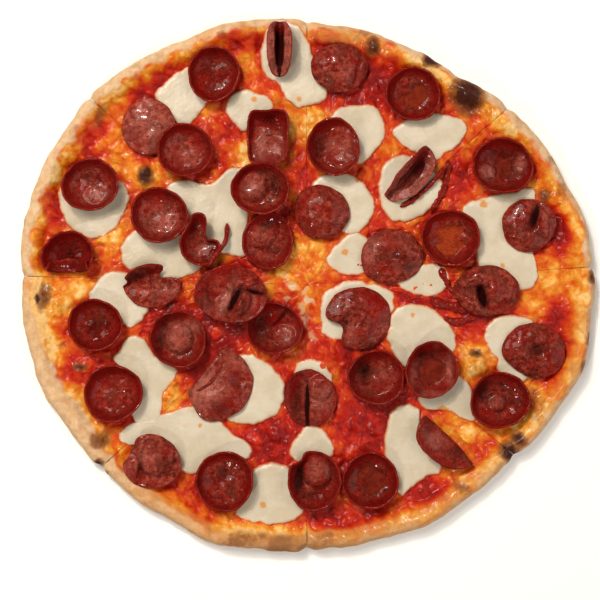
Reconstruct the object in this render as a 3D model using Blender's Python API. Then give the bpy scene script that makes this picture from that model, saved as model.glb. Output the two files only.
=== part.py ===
"""Pepperoni pizza in eight slices, with mozzarella pools and curled pepperoni.

Shapes are worked out in millimetres and written to the scene in metres.
+Z is up, and the flat underside of the crust lies on z = 0.
"""
import math
import random

import bmesh
import bpy
from mathutils import Matrix, Vector
from mathutils.bvhtree import BVHTree

MM = 0.001

# The plan is a square sheet with its origin at the upper left, y running down.
PLAN_UNIT = 0.58                    # millimetres for each unit of the plan
PLAN_X, PLAN_Y = 307.0, 284.5       # plan point over the middle of the crust

# Crust, in millimetres.
HALF_WIDTH = 166.5                  # half of the crust across, along X
HALF_DEPTH = 154.3                  # half of the crust across, along Y
FIELD = 5.2                         # dough, sauce and cheese inside the rim
CUT_GAP = 0.6                       # width of the knife cuts
TIP = 2.0                           # blunt tip of a slice, from the middle
COLUMNS = 12                        # steps across one slice
CUTS = (3.5, 41.3, 90.0, 139.4, 178.3, 221.6, 270.0, 320.5)     # degrees

# (direction in degrees, spread in degrees, how far the edge stands out)
OUTLINE_LOBES = (
    (343, 8, 3.5), (318, 20, -3.5), (250, 9, 5.0), (140, 26, 5.5),
    (108, 12, 2.0), (58, 22, -7.5), (30, 10, -2.5),
)
# (direction in degrees, spread in degrees, change of the rim's height)
RIM_LOBES = (
    (97, 9, -3.0), (60, 8, 1.5), (140, 14, 1.2), (200, 20, -0.8),
    (252, 10, 1.2), (345, 14, 1.0), (20, 8, -1.0),
)
# Section through the rim: (distance in from the edge, height), going down
# the outside from the cheese to the underside.
RIM_TOP = ((18.0, 5.4), (13.5, 6.8), (9.8, 9.4), (6.2, 11.2), (2.8, 10.4), (0.7, 7.6))
RIM_SIDE = ((0.0, 4.4), (1.4, 1.3))
FOOT = 4.6                          # the flat underside starts this far in
FIELD_STEPS = (0.13, 0.26, 0.39, 0.51, 0.63, 0.75, 0.87)

# Blisters: (plan x, plan y, radius, height).
BLISTERS = (
    (467, 95, 12.0, 2.4), (432, 61, 6.0, 1.2), (373, 48, 6.0, 1.2),
    (145, 175, 8.5, 3.0), (55, 298, 13.0, 2.6), (478, 359, 10.0, 3.2),
    (100, 440, 8.0, 1.8), (79, 367, 7.0, 1.2), (509, 450, 7.0, 1.2),
)
# Thin pools of mozzarella that melted into the layer below:
# (plan x, plan y, half width, half depth, thickness).
MELTED = (
    (348, 257, 12.0, 11.0, 0.9), (425, 279, 13.0, 8.0, 0.9),
    (92, 213, 18.0, 15.0, 1.2), (352, 300, 17.0, 11.0, 0.9),
    (450, 403, 15.0, 8.0, 0.9), (312, 443, 11.0, 7.0, 0.8),
    (312, 370, 9.0, 6.0, 0.8),
)

# Mozzarella pools: stations of (plan x, plan y, half width in mm).
MOZZARELLA = 1.7                    # thickness in the middle
MOZZARELLA_EDGE = 0.55              # thickness at the edge
POOL_LAYER = 0.32                   # clearance under a pool
POOL_STATIONS = 10
POOL_ACROSS = (-1.0, -0.72, 0.0, 0.72, 1.0)
POOLS = {
    "mozzarella_a": ((168, 84, 8.5), (184, 100, 14.5), (192, 114, 9.0)),
    "mozzarella_b": ((236, 113, 8.0), (262, 98, 8.0), (293, 79, 19.0), (287, 46, 15.5)),
    "mozzarella_c": ((365, 117, 10.0), (358, 138, 14.5), (346, 170, 8.5),
                     (350, 196, 12.5), (360, 222, 6.5)),
    "mozzarella_d": ((455, 126, 8.0), (427, 133, 14.0), (399, 166, 9.5),
                     (400, 200, 12.0), (428, 205, 8.0)),
    "mozzarella_e": ((523, 193, 5.0), (487, 203, 10.0), (489, 232, 8.5), (507, 266, 14.5)),
    "mozzarella_f": ((131, 257, 7.0), (168, 248, 10.0), (198, 205, 15.0), (234, 195, 12.5)),
    "mozzarella_g": ((97, 308, 6.5), (115, 294, 12.5), (134, 288, 8.0)),
    "mozzarella_h": ((133, 346, 6.0), (154, 365, 12.0), (150, 402, 7.5),
                     (163, 428, 9.0), (200, 432, 12.0), (237, 441, 7.0)),
    "mozzarella_i": ((238, 360, 6.0), (263, 376, 11.0), (270, 399, 10.0), (258, 419, 5.0)),
    "mozzarella_j": ((446, 311, 8.0), (424, 327, 17.0), (407, 350, 11.0)),
    "mozzarella_k": ((517, 324, 7.5), (504, 342, 9.0), (507, 368, 5.0)),
    "mozzarella_l": ((243, 474, 6.0), (267, 494, 14.5), (293, 508, 8.0)),
    "mozzarella_m": ((402, 415, 8.0), (404, 446, 12.0), (420, 480, 9.0)),
}

# Pepperoni, in millimetres.
SLICE = 1.3                         # thickness of a slice of sausage
REST = 0.32                         # clearance under a piece
SEGMENTS = 14
RINGS = (0.5, 0.8, 1.0)
PROBE = 0.7                         # spacing of the height probes
# Cups and domes, from the lowest to the topmost: plan place, half sizes,
# turn in degrees, height of the lip, height of the crown, lean in degrees
# about X and Y.
ROUNDS = (
    ("pepperoni_01", (214, 75), (14.8, 15.4), 0, 8.0, 0.0, (0, 0)),
    ("pepperoni_03", (339.5, 68), (16.0, 14.2), 0, 0.8, 6.5, (0, 4)),
    ("pepperoni_04", (412.5, 94.5), (15.4, 15.4), 30, 8.0, 0.0, (2, 0)),
    ("pepperoni_05", (149, 127), (16.0, 16.0), 0, 0.6, 3.4, (0, 0)),
    ("pepperoni_06", (184.5, 151), (15.4, 15.4), 15, 7.5, 0.0, (0, 5)),
    ("pepperoni_07", (268, 136.5), (11.6, 15.6), 0, 9.5, 0.0, (4, 0)),
    ("pepperoni_08", (334, 148), (15.1, 16.2), 0, 8.5, 0.0, (0, -3)),
    ("pepperoni_10", (502, 166.5), (17.4, 15.7), 0, 8.0, 0.0, (0, 0)),
    ("pepperoni_11", (91.5, 186), (16.0, 15.1), 0, 8.5, 0.0, (-3, 0)),
    ("pepperoni_12", (160, 215.5), (16.5, 15.4), 0, 8.0, 0.0, (0, 0)),
    ("pepperoni_14", (268, 241), (14.8, 16.0), 20, 5.5, 2.0, (0, 0)),
    ("pepperoni_13", (261, 190.5), (16.2, 15.1), 0, 7.5, 2.0, (-4, 0)),
    ("pepperoni_15", (321.5, 212), (15.6, 15.6), 0, 0.8, 6.5, (0, 0)),
    ("pepperoni_16", (203, 243), (13.0, 13.4), 0, 8.0, 0.0, (0, 4)),
    ("pepperoni_17", (528, 224), (16.0, 15.1), 0, 1.0, 6.0, (0, -3)),
    ("pepperoni_19", (392, 256.5), (18.2, 15.6), 0, 0.8, 5.5, (0, 0)),
    ("pepperoni_18", (450, 238), (16.4, 16.2), 0, 8.0, 0.0, (0, 0)),
    ("pepperoni_20", (69, 255), (14.8, 14.0), 0, 9.0, 0.0, (-4, 0)),
    ("pepperoni_21", (150, 287), (16.8, 11.4), -8, 4.0, 1.0, (5, 0)),
    ("pepperoni_23", (274, 328), (16.0, 15.0), 0, 7.0, 0.0, (0, 0)),
    ("pepperoni_22", (231, 294), (21.5, 16.6), -15, 5.0, 4.0, (0, 3)),
    ("pepperoni_24", (486, 291), (19.1, 14.5), 20, 1.0, 6.5, (0, 0)),
    ("pepperoni_25", (358, 318), (18.4, 18.4), 0, 1.6, 5.4, (0, 3)),
    ("pepperoni_26", (96, 325), (15.1, 15.1), 0, 8.0, 0.0, (0, 0)),
    ("pepperoni_27", (178.5, 339), (15.7, 16.5), 0, 6.5, 3.0, (0, 0)),
    ("pepperoni_28", (224, 391), (17.0, 19.1), 0, 2.5, 3.5, (0, 3)),
    ("pepperoni_29", (310, 398), (15.1, 16.2), 0, 4.0, 4.5, (0, 0)),
    ("pepperoni_30", (376, 377), (16.6, 15.1), 0, 7.0, 1.0, (0, 0)),
    ("pepperoni_31", (431, 370), (14.6, 16.6), 0, 9.5, 0.0, (0, 0)),
    ("pepperoni_32", (534, 351), (18.0, 16.2), 0, 1.0, 5.0, (0, 0)),
    ("pepperoni_33", (499, 400), (17.4, 15.7), 0, 7.0, 0.5, (0, 0)),
    ("pepperoni_34", (114, 393), (16.5, 16.5), 0, 8.0, 0.0, (0, 0)),
    ("pepperoni_35", (152, 460), (17.6, 15.4), 25, 1.2, 4.5, (0, 0)),
    ("pepperoni_36", (225, 480.5), (16.8, 16.8), 0, 8.0, 0.0, (0, 0)),
    ("pepperoni_37", (314, 480), (15.5, 16.8), 0, 6.5, 3.0, (0, 0)),
    ("pepperoni_38", (370, 480), (15.7, 16.5), 0, 8.0, 0.0, (0, 0)),
)
# Tears in the edge: direction in degrees, spread in degrees, share of the
# radius that is missing.
TEARS = {
    "pepperoni_16": (52, 40, 0.48),
    "pepperoni_20": (-90, 34, 0.12),
    "pepperoni_25": (208, 26, 0.38),
    "pepperoni_35": (150, 30, 0.16),
}
# Pleats that stand up across a slice: place from its middle in mm, direction
# in degrees, half length, half width, height.
PLEATS = {
    "pepperoni_17": ((4.0, 3.0), 65, 7.0, 3.0, 2.0),
    "pepperoni_22": ((4.0, 2.0), 55, 9.0, 4.0, 4.5),
    "pepperoni_24": ((-2.5, -2.0), 85, 9.0, 4.0, 3.0),
    "pepperoni_28": ((-6.0, 9.0), 45, 13.0, 3.4, 2.6),
    "pepperoni_29": ((2.0, 0.0), 90, 14.0, 3.2, 3.0),
}
# Folded slices: plan place, half length, half width of the sheet across the
# fold, radius of the fold, opening of the walls in degrees, turn and roll.
FOLDS = (
    ("pepperoni_02", (279, 50), 15.8, 13.0, 1.6, 64, 90, 0),
    ("pepperoni_09", (407, 174), 18.6, 13.0, 1.8, 60, 50, 14),
    ("pepperoni_39", (450, 439), 19.3, 17.5, 2.2, 88, -48, 84),
)

# Surface looks: linear colour and roughness.
CRUST_LOOK = ((0.66, 0.30, 0.09), 0.62)
MOZZARELLA_LOOK = ((0.79, 0.70, 0.50), 0.34)
PEPPERONI_LOOK = ((0.24, 0.030, 0.020), 0.36)


def on_plan(px, py):
    """Millimetres from the middle of the crust to a point of the plan."""
    return (px - PLAN_X) * PLAN_UNIT, (PLAN_Y - py) * PLAN_UNIT


def lobes(degrees, table):
    """Sum of the bell-shaped lobes of a table in one direction."""
    total = 0.0
    for centre, spread, height in table:
        off = (degrees - centre + 180.0) % 360.0 - 180.0
        total += height * math.exp(-(off / spread) ** 2)
    return total


def edge_radius(theta):
    """Distance from the middle to the outer edge of the crust."""
    ellipse = math.hypot(math.cos(theta) / HALF_WIDTH, math.sin(theta) / HALF_DEPTH)
    crags = 0.7 * math.sin(11 * theta + 1.0) + 0.5 * math.sin(23 * theta + 2.1)
    return 1.0 / ellipse + lobes(math.degrees(theta), OUTLINE_LOBES) + crags


def cut_pinch(r, theta):
    """1 on a knife cut, falling to 0 a few millimetres beside it."""
    nearest = min(abs((math.degrees(theta) - cut + 180) % 360 - 180) for cut in CUTS)
    return math.exp(-(r * math.radians(nearest) / 4.0) ** 2)


def relief(x, y):
    """Unevenness of the baked top: ripples, blisters and melted cheese."""
    z = 0.22 * math.sin(0.13 * x + 0.05 * y + 0.4)
    z += 0.20 * math.sin(0.16 * y - 0.07 * x + 1.9)
    for px, py, radius, height in BLISTERS:
        bx, by = on_plan(px, py)
        z += height * math.exp(-((x - bx) ** 2 + (y - by) ** 2) / (0.6 * radius) ** 2)
    for px, py, half_x, half_y, height in MELTED:
        bx, by = on_plan(px, py)
        away = ((x - bx) / half_x) ** 2 + ((y - by) / half_y) ** 2
        z += height / (1.0 + away ** 3)
    return z


def new_material(name, look):
    """Principled material with one colour."""
    colour, roughness = look
    material = bpy.data.materials.new(name)
    material.use_nodes = True
    shader = material.node_tree.nodes["Principled BSDF"]
    shader.inputs["Base Color"].default_value = (*colour, 1.0)
    shader.inputs["Roughness"].default_value = roughness
    shader.inputs["Metallic"].default_value = 0.0
    return material


def new_piece(name, verts, faces, look, place=(0.0, 0.0, 0.0)):
    """Object from vertices in millimetres, triangulated and facing out."""
    work = bmesh.new()
    corners = [work.verts.new(v) for v in verts]
    for face in faces:
        work.faces.new([corners[i] for i in face])
    bmesh.ops.recalc_face_normals(work, faces=work.faces)
    bmesh.ops.triangulate(work, faces=work.faces)
    tree = BVHTree.FromBMesh(work)
    bmesh.ops.scale(work, vec=(MM, MM, MM), verts=work.verts)
    mesh = bpy.data.meshes.new(name)
    work.to_mesh(mesh)
    work.free()
    piece = bpy.data.objects.new(name, mesh)
    piece.location = Vector(place) * MM
    piece.data.materials.append(new_material(name + "_surface", look))
    piece.parent = pizza
    bpy.context.collection.objects.link(piece)
    laid.append((tree, Vector(place), footprint(verts, place)))
    return piece


def footprint(verts, place):
    """Box of a piece seen from above: least x and y, most x and y."""
    xs = [v[0] + place[0] for v in verts]
    ys = [v[1] + place[1] for v in verts]
    return min(xs), min(ys), max(xs), max(ys)


def top_below(x, y):
    """Height of what lies at a point already, or zero over a cut."""
    top = 0.0
    for tree, place, (x0, y0, x1, y1) in laid:
        if x0 <= x <= x1 and y0 <= y <= y1:
            start = Vector((x - place.x, y - place.y, 60.0 - place.z))
            hit = tree.ray_cast(start, Vector((0, 0, -1)))[0]
            if hit:
                top = max(top, hit.z + place.z)
    return top


def highest_near(x, y, reach):
    """Highest point laid at a spot and around it."""
    around = [top_below(x, y)]
    for step in range(6):
        angle = step * math.pi / 3
        around.append(top_below(x + reach * math.cos(angle), y + reach * math.sin(angle)))
    return max(around)


def slice_rings(theta):
    """Section of a slice in one direction, as (radius, height) going round."""
    edge = edge_radius(theta)
    edge -= 1.6 * cut_pinch(edge, theta)
    rise = lobes(math.degrees(theta), RIM_LOBES)
    rise += 0.5 * math.sin(17 * theta + 0.6) - 1.4 * cut_pinch(edge, theta)
    inner = edge - RIM_TOP[0][0]
    section = [(TIP, FIELD)]
    section += [(TIP + f * (inner - TIP), FIELD) for f in FIELD_STEPS]
    for inset, height in RIM_TOP:
        lift = rise * (height - FIELD) / 6.0
        section.append((edge - inset, height + lift))
    section = [
        (r, z + relief(r * math.cos(theta), r * math.sin(theta))) for r, z in section
    ]
    section += [(edge - inset, height) for inset, height in RIM_SIDE]
    section += [(edge - FOOT, 0.0), (TIP, 0.0)]
    return section


def add_slice(number, start, stop):
    """One slice between two knife cuts, given in degrees."""
    verts = []
    rings = len(slice_rings(0.0))
    for column in range(COLUMNS + 1):
        share = column / COLUMNS
        theta = math.radians(start + share * (stop - start))
        for radius, height in slice_rings(theta):
            inset = math.asin(0.5 * CUT_GAP / radius)
            turn = theta + inset * (1.0 - 2.0 * share)
            verts.append((radius * math.cos(turn), radius * math.sin(turn), height))
    faces = [tuple(range(rings)), tuple(range(COLUMNS * rings, len(verts)))]
    for column in range(COLUMNS):
        for ring in range(rings):
            a = column * rings + ring
            b = column * rings + (ring + 1) % rings
            faces.append((a, b, b + rings, a + rings))
    new_piece("slice_%d" % number, verts, faces, CRUST_LOOK)


def smooth_path(stations, t):
    """Point of a Catmull-Rom curve through the stations, t from 0 to 1."""
    spans = len(stations) - 1
    span = min(int(t * spans), spans - 1)
    u = t * spans - span
    picks = [stations[min(max(span + k, 0), spans)] for k in (-1, 0, 1, 2)]
    point = []
    for p0, p1, p2, p3 in zip(*picks):
        cubic = (2 * p1 + (p2 - p0) * u + (2 * p0 - 5 * p1 + 4 * p2 - p3) * u ** 2
                 + (3 * p1 - p0 - 3 * p2 + p3) * u ** 3)
        point.append(0.5 * cubic)
    return point


def add_pool(name, stations):
    """Pool of melted mozzarella that follows what it lies on."""
    line = [(*on_plan(px, py), width) for px, py, width in stations]
    rows = []
    for step in range(POOL_STATIONS):
        t = 0.5 - 0.5 * math.cos(math.pi * step / (POOL_STATIONS - 1))
        x, y, width = smooth_path(line, t)
        ahead = smooth_path(line, min(t + 0.02, 1.0))
        behind = smooth_path(line, max(t - 0.02, 0.0))
        along = Vector((ahead[0] - behind[0], ahead[1] - behind[1])).normalized()
        end = min(step, POOL_STATIONS - 1 - step)
        bulge = 0.75 * width * (1 if step else -1) if end == 0 else 0.0
        narrow = (0.42, 0.86)[end] if end < 2 else 1.0
        x += along.x * bulge
        y += along.y * bulge
        rows.append((x, y, -along.y * width * narrow, along.x * width * narrow, end))
    top, bottom = [], []
    for x, y, side_x, side_y, end in rows:
        for across in POOL_ACROSS:
            vx, vy = x + side_x * across, y + side_y * across
            floor = highest_near(vx, vy, 1.8) + POOL_LAYER
            swell = (1.0 - across ** 4) * (0.0 if end == 0 else 1.0)
            thick = MOZZARELLA_EDGE + (MOZZARELLA - MOZZARELLA_EDGE) * swell
            bottom.append((vx, vy, floor))
            top.append((vx, vy, floor + thick))
    wide, rows_n = len(POOL_ACROSS), POOL_STATIONS
    under = len(top)
    faces = []
    for row in range(rows_n - 1):
        for col in range(wide - 1):
            a = row * wide + col
            quad = (a, a + 1, a + wide + 1, a + wide)
            faces.append(quad)
            faces.append(tuple(under + i for i in reversed(quad)))
    border = [c for c in range(wide)]
    border += [r * wide + wide - 1 for r in range(1, rows_n)]
    border += [(rows_n - 1) * wide + c for c in range(wide - 2, -1, -1)]
    border += [r * wide for r in range(rows_n - 2, 0, -1)]
    for here, after in zip(border, border[1:] + border[:1]):
        faces.append((here, after, under + after, under + here))
    verts = settle(top + bottom, faces)
    new_piece(name, verts, faces, MOZZARELLA_LOOK)


def settle(verts, faces):
    """Raise a piece until it clears all that is laid below it."""
    work = bmesh.new()
    corners = [work.verts.new(v) for v in verts]
    for face in faces:
        work.faces.new([corners[i] for i in face])
    bmesh.ops.triangulate(work, faces=work.faces)
    tree = BVHTree.FromBMesh(work)
    work.free()
    x0, y0, x1, y1 = footprint(verts, (0, 0))
    probes = [(v[0], v[1]) for v in verts]
    for i in range(int((x1 - x0) / PROBE) + 1):
        for j in range(int((y1 - y0) / PROBE) + 1):
            probes.append((x0 + i * PROBE, y0 + j * PROBE))
    lift = -60.0
    for x, y in probes:
        hit = tree.ray_cast(Vector((x, y, -60.0)), Vector((0, 0, 1)))[0]
        if hit:
            lift = max(lift, top_below(x, y) + REST - hit.z)
    return [(x, y, z + lift) for x, y, z in verts]


def shell(surface):
    """Closed sheet, one slice thick, on both sides of surface(s, phi)."""
    def point(s, phi):
        return Vector(surface(s, phi))

    def normal(s, phi):
        step = 0.02
        outward = point(min(s + step, 1.0), phi) - point(max(s - step, 0.0), phi)
        around = point(s, phi + step) - point(s, phi - step)
        return outward.cross(around).normalized()

    crown = point(0.0, 0.0)
    tilt = (point(0.05, 0.0) - crown).cross(point(0.05, 0.5 * math.pi) - crown)
    sides = []
    for face in (0.5 * SLICE, -0.5 * SLICE):
        sides.append([crown + face * tilt.normalized()])
        for s in RINGS:
            for k in range(SEGMENTS):
                phi = 2 * math.pi * k / SEGMENTS
                sides[-1].append(point(s, phi) + face * normal(s, phi))
    verts = sides[0] + sides[1]
    under = len(sides[0])
    faces = []
    for k in range(SEGMENTS):
        after = (k + 1) % SEGMENTS
        faces.append((0, 1 + k, 1 + after))
        faces.append((under, under + 1 + after, under + 1 + k))
        for ring in range(len(RINGS) - 1):
            low = 1 + ring * SEGMENTS
            quad = (low + k, low + SEGMENTS + k, low + SEGMENTS + after, low + after)
            faces.append(quad)
            faces.append(tuple(under + i for i in reversed(quad)))
        lip = 1 + (len(RINGS) - 1) * SEGMENTS
        faces.append((lip + k, under + lip + k, under + lip + after, lip + after))
    return verts, faces


def lay_pepperoni(name, at, surface, turn, lean):
    """Turn, lean and settle a slice of sausage over its place on the plan."""
    verts, faces = shell(surface)
    x, y = on_plan(*at)
    pose = Matrix.Translation((x, y, 0.0))
    pose @= Matrix.Rotation(math.radians(lean[0]), 4, "X")
    pose @= Matrix.Rotation(math.radians(lean[1]), 4, "Y")
    pose @= Matrix.Rotation(math.radians(turn), 4, "Z")
    verts = settle([tuple(pose @ v) for v in verts], faces)
    low = min(v[2] for v in verts)
    local = [(vx - x, vy - y, vz - low) for vx, vy, vz in verts]
    new_piece(name, local, faces, PEPPERONI_LOOK, (x, y, low))


def pleat_height(x, y, middle, turn, half_length, half_width, height):
    """Height that a pleat adds to a slice at a place from its middle."""
    cos, sin = math.cos(math.radians(turn)), math.sin(math.radians(turn))
    along = ((x - middle[0]) * cos + (y - middle[1]) * sin) / half_length
    across = ((y - middle[1]) * cos - (x - middle[0]) * sin) / half_width
    return height * math.exp(-along ** 4 - across ** 2)


def add_round(name, at, half, turn, lip, crown, lean):
    """A cup, where the lip has curled up, or a dome, where the middle rose."""
    draw = random.Random(name)
    phase = [draw.uniform(0.0, 2 * math.pi) for _ in range(5)]
    tear = TEARS.get(name, (0, 30, 0.0))
    pleat = PLEATS.get(name, ((0.0, 0.0), 0, 1.0, 1.0, 0.0))

    def surface(s, phi):
        reach = 1.15 * s - 0.15 * s ** 3
        reach *= 1.0 + s * (0.025 * math.cos(2 * phi + phase[0])
                            + 0.02 * math.cos(3 * phi + phase[1]))
        reach *= 1.0 - s * lobes(math.degrees(phi), (tear,))
        x, y = half[0] * reach * math.cos(phi), half[1] * reach * math.sin(phi)
        curl = 1.0 + 0.12 * math.cos(2 * phi + phase[2]) + 0.08 * math.cos(3 * phi + phase[3])
        z = lip * curl * s ** 3.2 + crown * (1.0 - s ** 2.4)
        z += 0.35 * s * s * math.cos(4 * phi + phase[4])
        return x, y, z + pleat_height(x, y, *pleat)

    lay_pepperoni(name, at, surface, turn, lean)


def fold_section(offset, radius, opening):
    """Bend of a folded sheet: place across and height at an arc length."""
    steps = 24
    x = z = 0.0
    for step in range(steps):
        arc = abs(offset) * (step + 0.5) / steps
        slope = math.radians(opening) * math.tanh(1.1 * arc / radius)
        x += math.cos(slope) * abs(offset) / steps
        z += math.sin(slope) * abs(offset) / steps
    return math.copysign(x, offset), z


def add_fold(name, at, half_length, half_width, radius, opening, turn, roll):
    """A slice folded along its middle, standing or lying on its side."""
    tip = math.radians(roll)

    def surface(s, phi):
        across, height = fold_section(half_width * s * math.sin(phi), radius, opening)
        flare = 1.0 + 0.06 * height / half_width
        x = half_length * s * math.cos(phi) * flare
        y = across * math.cos(tip) - height * math.sin(tip)
        return x, y, across * math.sin(tip) + height * math.cos(tip)

    lay_pepperoni(name, at, surface, turn, (0, 0))


for leftover in list(bpy.data.objects):
    bpy.data.objects.remove(leftover, do_unlink=True)

pizza = bpy.data.objects.new("pizza", None)
bpy.context.collection.objects.link(pizza)
laid = []
for index, cut in enumerate(CUTS):
    following = CUTS[index + 1] if index + 1 < len(CUTS) else CUTS[0] + 360.0
    add_slice(index + 1, cut, following)
for pool_name, pool_stations in POOLS.items():
    add_pool(pool_name, pool_stations)
for entry in ROUNDS:
    add_round(*entry)
for entry in FOLDS:
    add_fold(*entry)
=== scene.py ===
import math

import bmesh
import bpy
import numpy as np
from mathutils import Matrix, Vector


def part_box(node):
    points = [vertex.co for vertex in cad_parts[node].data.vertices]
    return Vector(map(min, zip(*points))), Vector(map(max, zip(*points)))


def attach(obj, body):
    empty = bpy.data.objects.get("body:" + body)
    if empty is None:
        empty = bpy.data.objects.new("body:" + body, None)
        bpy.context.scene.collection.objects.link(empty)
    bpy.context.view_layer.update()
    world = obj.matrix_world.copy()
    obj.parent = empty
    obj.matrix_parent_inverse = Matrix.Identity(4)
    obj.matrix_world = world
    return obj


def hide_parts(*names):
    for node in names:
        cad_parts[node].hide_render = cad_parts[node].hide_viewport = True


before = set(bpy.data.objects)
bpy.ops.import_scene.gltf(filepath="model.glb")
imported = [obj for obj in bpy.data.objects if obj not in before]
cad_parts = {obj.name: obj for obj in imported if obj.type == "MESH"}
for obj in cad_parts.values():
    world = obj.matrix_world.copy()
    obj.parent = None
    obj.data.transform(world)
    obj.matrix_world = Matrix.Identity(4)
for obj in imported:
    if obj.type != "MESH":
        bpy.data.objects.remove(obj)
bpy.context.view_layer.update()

# Lengths are in millimetres until a mesh is made. Places are read off a plan
# whose origin is at the upper left, with y running down.
MM = 0.001
PLAN_UNIT = 0.58                    # millimetres for each unit of the plan
PLAN_X, PLAN_Y = 307.0, 284.5       # plan point over the middle of the crust

# ---------------------------------------------------------------- crust sizes
HALF_WIDTH, HALF_DEPTH = 166.5, 154.3
FIELD = 5.2                         # height of the topping inside the rim
TIP = 0.2                           # where the slices' tips end
CUTS = (3.5, 41.3, 90.0, 139.4, 178.3, 221.6, 270.0, 320.5)
OUTLINE_LOBES = (
    (343, 8, 3.5), (318, 20, -3.5), (250, 9, 5.0), (140, 26, 5.5),
    (108, 12, 2.0), (58, 22, -7.5), (30, 10, -2.5),
)
RIM_LOBES = (
    (97, 9, -3.0), (60, 8, 1.5), (140, 14, 1.2), (200, 20, -0.8),
    (252, 10, 1.2), (345, 14, 1.0), (20, 8, -1.0),
)
# Section through the rim: (distance in from the edge, height).
RIM = (
    (22.0, 5.2), (18.0, 5.4), (13.5, 6.8), (9.8, 9.4), (6.2, 11.2), (2.8, 10.4),
    (0.7, 7.6), (0.0, 4.4), (1.4, 1.3), (4.6, 0.0), (7.0, 0.0),
)
RIM_SPAN = 6.0                      # height at which the rim's lobes are full
CUT_NICK = 1.4                      # how far a cut draws the rim in and down
KERF_MIDDLE, KERF_RIM = 0.04, 0.18  # half width of a cut
FIELD_RINGS, RIM_RINGS, BASE_RINGS, COLUMNS = 140, 60, 6, 144
FLOUR = 2.8                         # width of the floury edge, with its lobes
FLOUR_LOBES = (
    (134, 26, 3.8), (98, 12, 1.0), (170, 16, 1.8), (208, 20, 8.5), (238, 16, 3.0), (262, 18, 3.0),
    (34, 18, 2.4), (300, 30, 0.4),
)
# Browning of the rim by direction: (direction, spread, strength). Partly painted shade: the lobes
# are strongest at the bottom, where the rim faces away from the light.
BROWNING_AND_SHADE_LOBES = (
    (266, 24, 0.85), (308, 26, 0.6), (345, 16, 0.35), (18, 16, 0.10), (82, 16, 0.60),
    (236, 14, 0.35), (112, 12, 0.2), (186, 16, 0.35), (212, 14, 0.3),
)

CORE = 0.6                          # share of a bump's radius that stands up
# Blisters: (plan x, plan y, radius, height).
BLISTERS = (
    (467, 95, 12, 2.4), (432, 61, 6, 1.2), (373, 48, 6, 1.2), (145, 175, 8.5, 3),
    (55, 298, 13, 2.6), (476, 359, 15, 3.4), (100, 440, 8, 1.8), (79, 367, 7, 1.2),
    (509, 450, 7, 1.2), (174, 383, 4.5, 1.8), (168, 399, 6.5, 2), (160, 412, 4, 1.4),
    (522, 389, 5, 1.2),
)
# Char: (plan x, plan y, half width, half depth, darkness). In this table and the
# ones like it, a last number is a turn in degrees.
CHAR = (
    (467, 95, 8.4, 9.4, 1, 25), (432, 61, 5, 4.2, 1), (373, 47, 4, 4.8, 0.8),
    (145, 175, 4.2, 5, 0.95), (45, 297, 3.6, 7.2, 0.75, -15), (38, 299, 1.4, 3, 1),
    (79, 367, 3.2, 2.6, 0.8), (100, 440, 5.4, 4.4, 0.7, 30), (98, 464, 4, 2.2, 0.9, 40),
    (104, 476, 3.6, 2, 0.8, 60), (509, 452, 4.8, 5.6, 0.95, 20), (518, 440, 4, 4.4, 0.9),
    (592, 278, 2.4, 4.2, 0.8), (545, 195, 3.2, 3.8, 0.7), (240, 539, 11, 4.4, 0.45, 5),
    (476, 354, 3.4, 2.6, 0.85), (552, 160, 4, 3.4, 0.4), (563, 190, 3.2, 4.6, 0.4),
    (365, 33, 4.6, 2.4, 0.4, -20), (462, 487, 6, 3, 0.5, -30), (100, 115, 3, 7, 0.5, -20),
    (222, 34, 3, 2.2, 0.5), (590, 340, 2.6, 4, 0.55), (584, 366, 2.2, 4, 0.5),
    (44, 195, 2.6, 4, 0.3), (74, 128, 4, 3, 0.3, 40), (62, 345, 4, 2.6, 0.35),
    (477, 361, 9, 8, 0.27), (478, 373, 9, 3.2, 0.36, 6), (535, 405, 6, 11, 0.38, 8),
    (168, 401, 3, 3.6, 0.27), (174, 386, 2.4, 2.4, 0.26), (330, 540, 5, 2.2, 0.3),
    (180, 37, 5, 2, 0.3, 30), (300, 520, 3, 1.6, 0.3),
)
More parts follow.
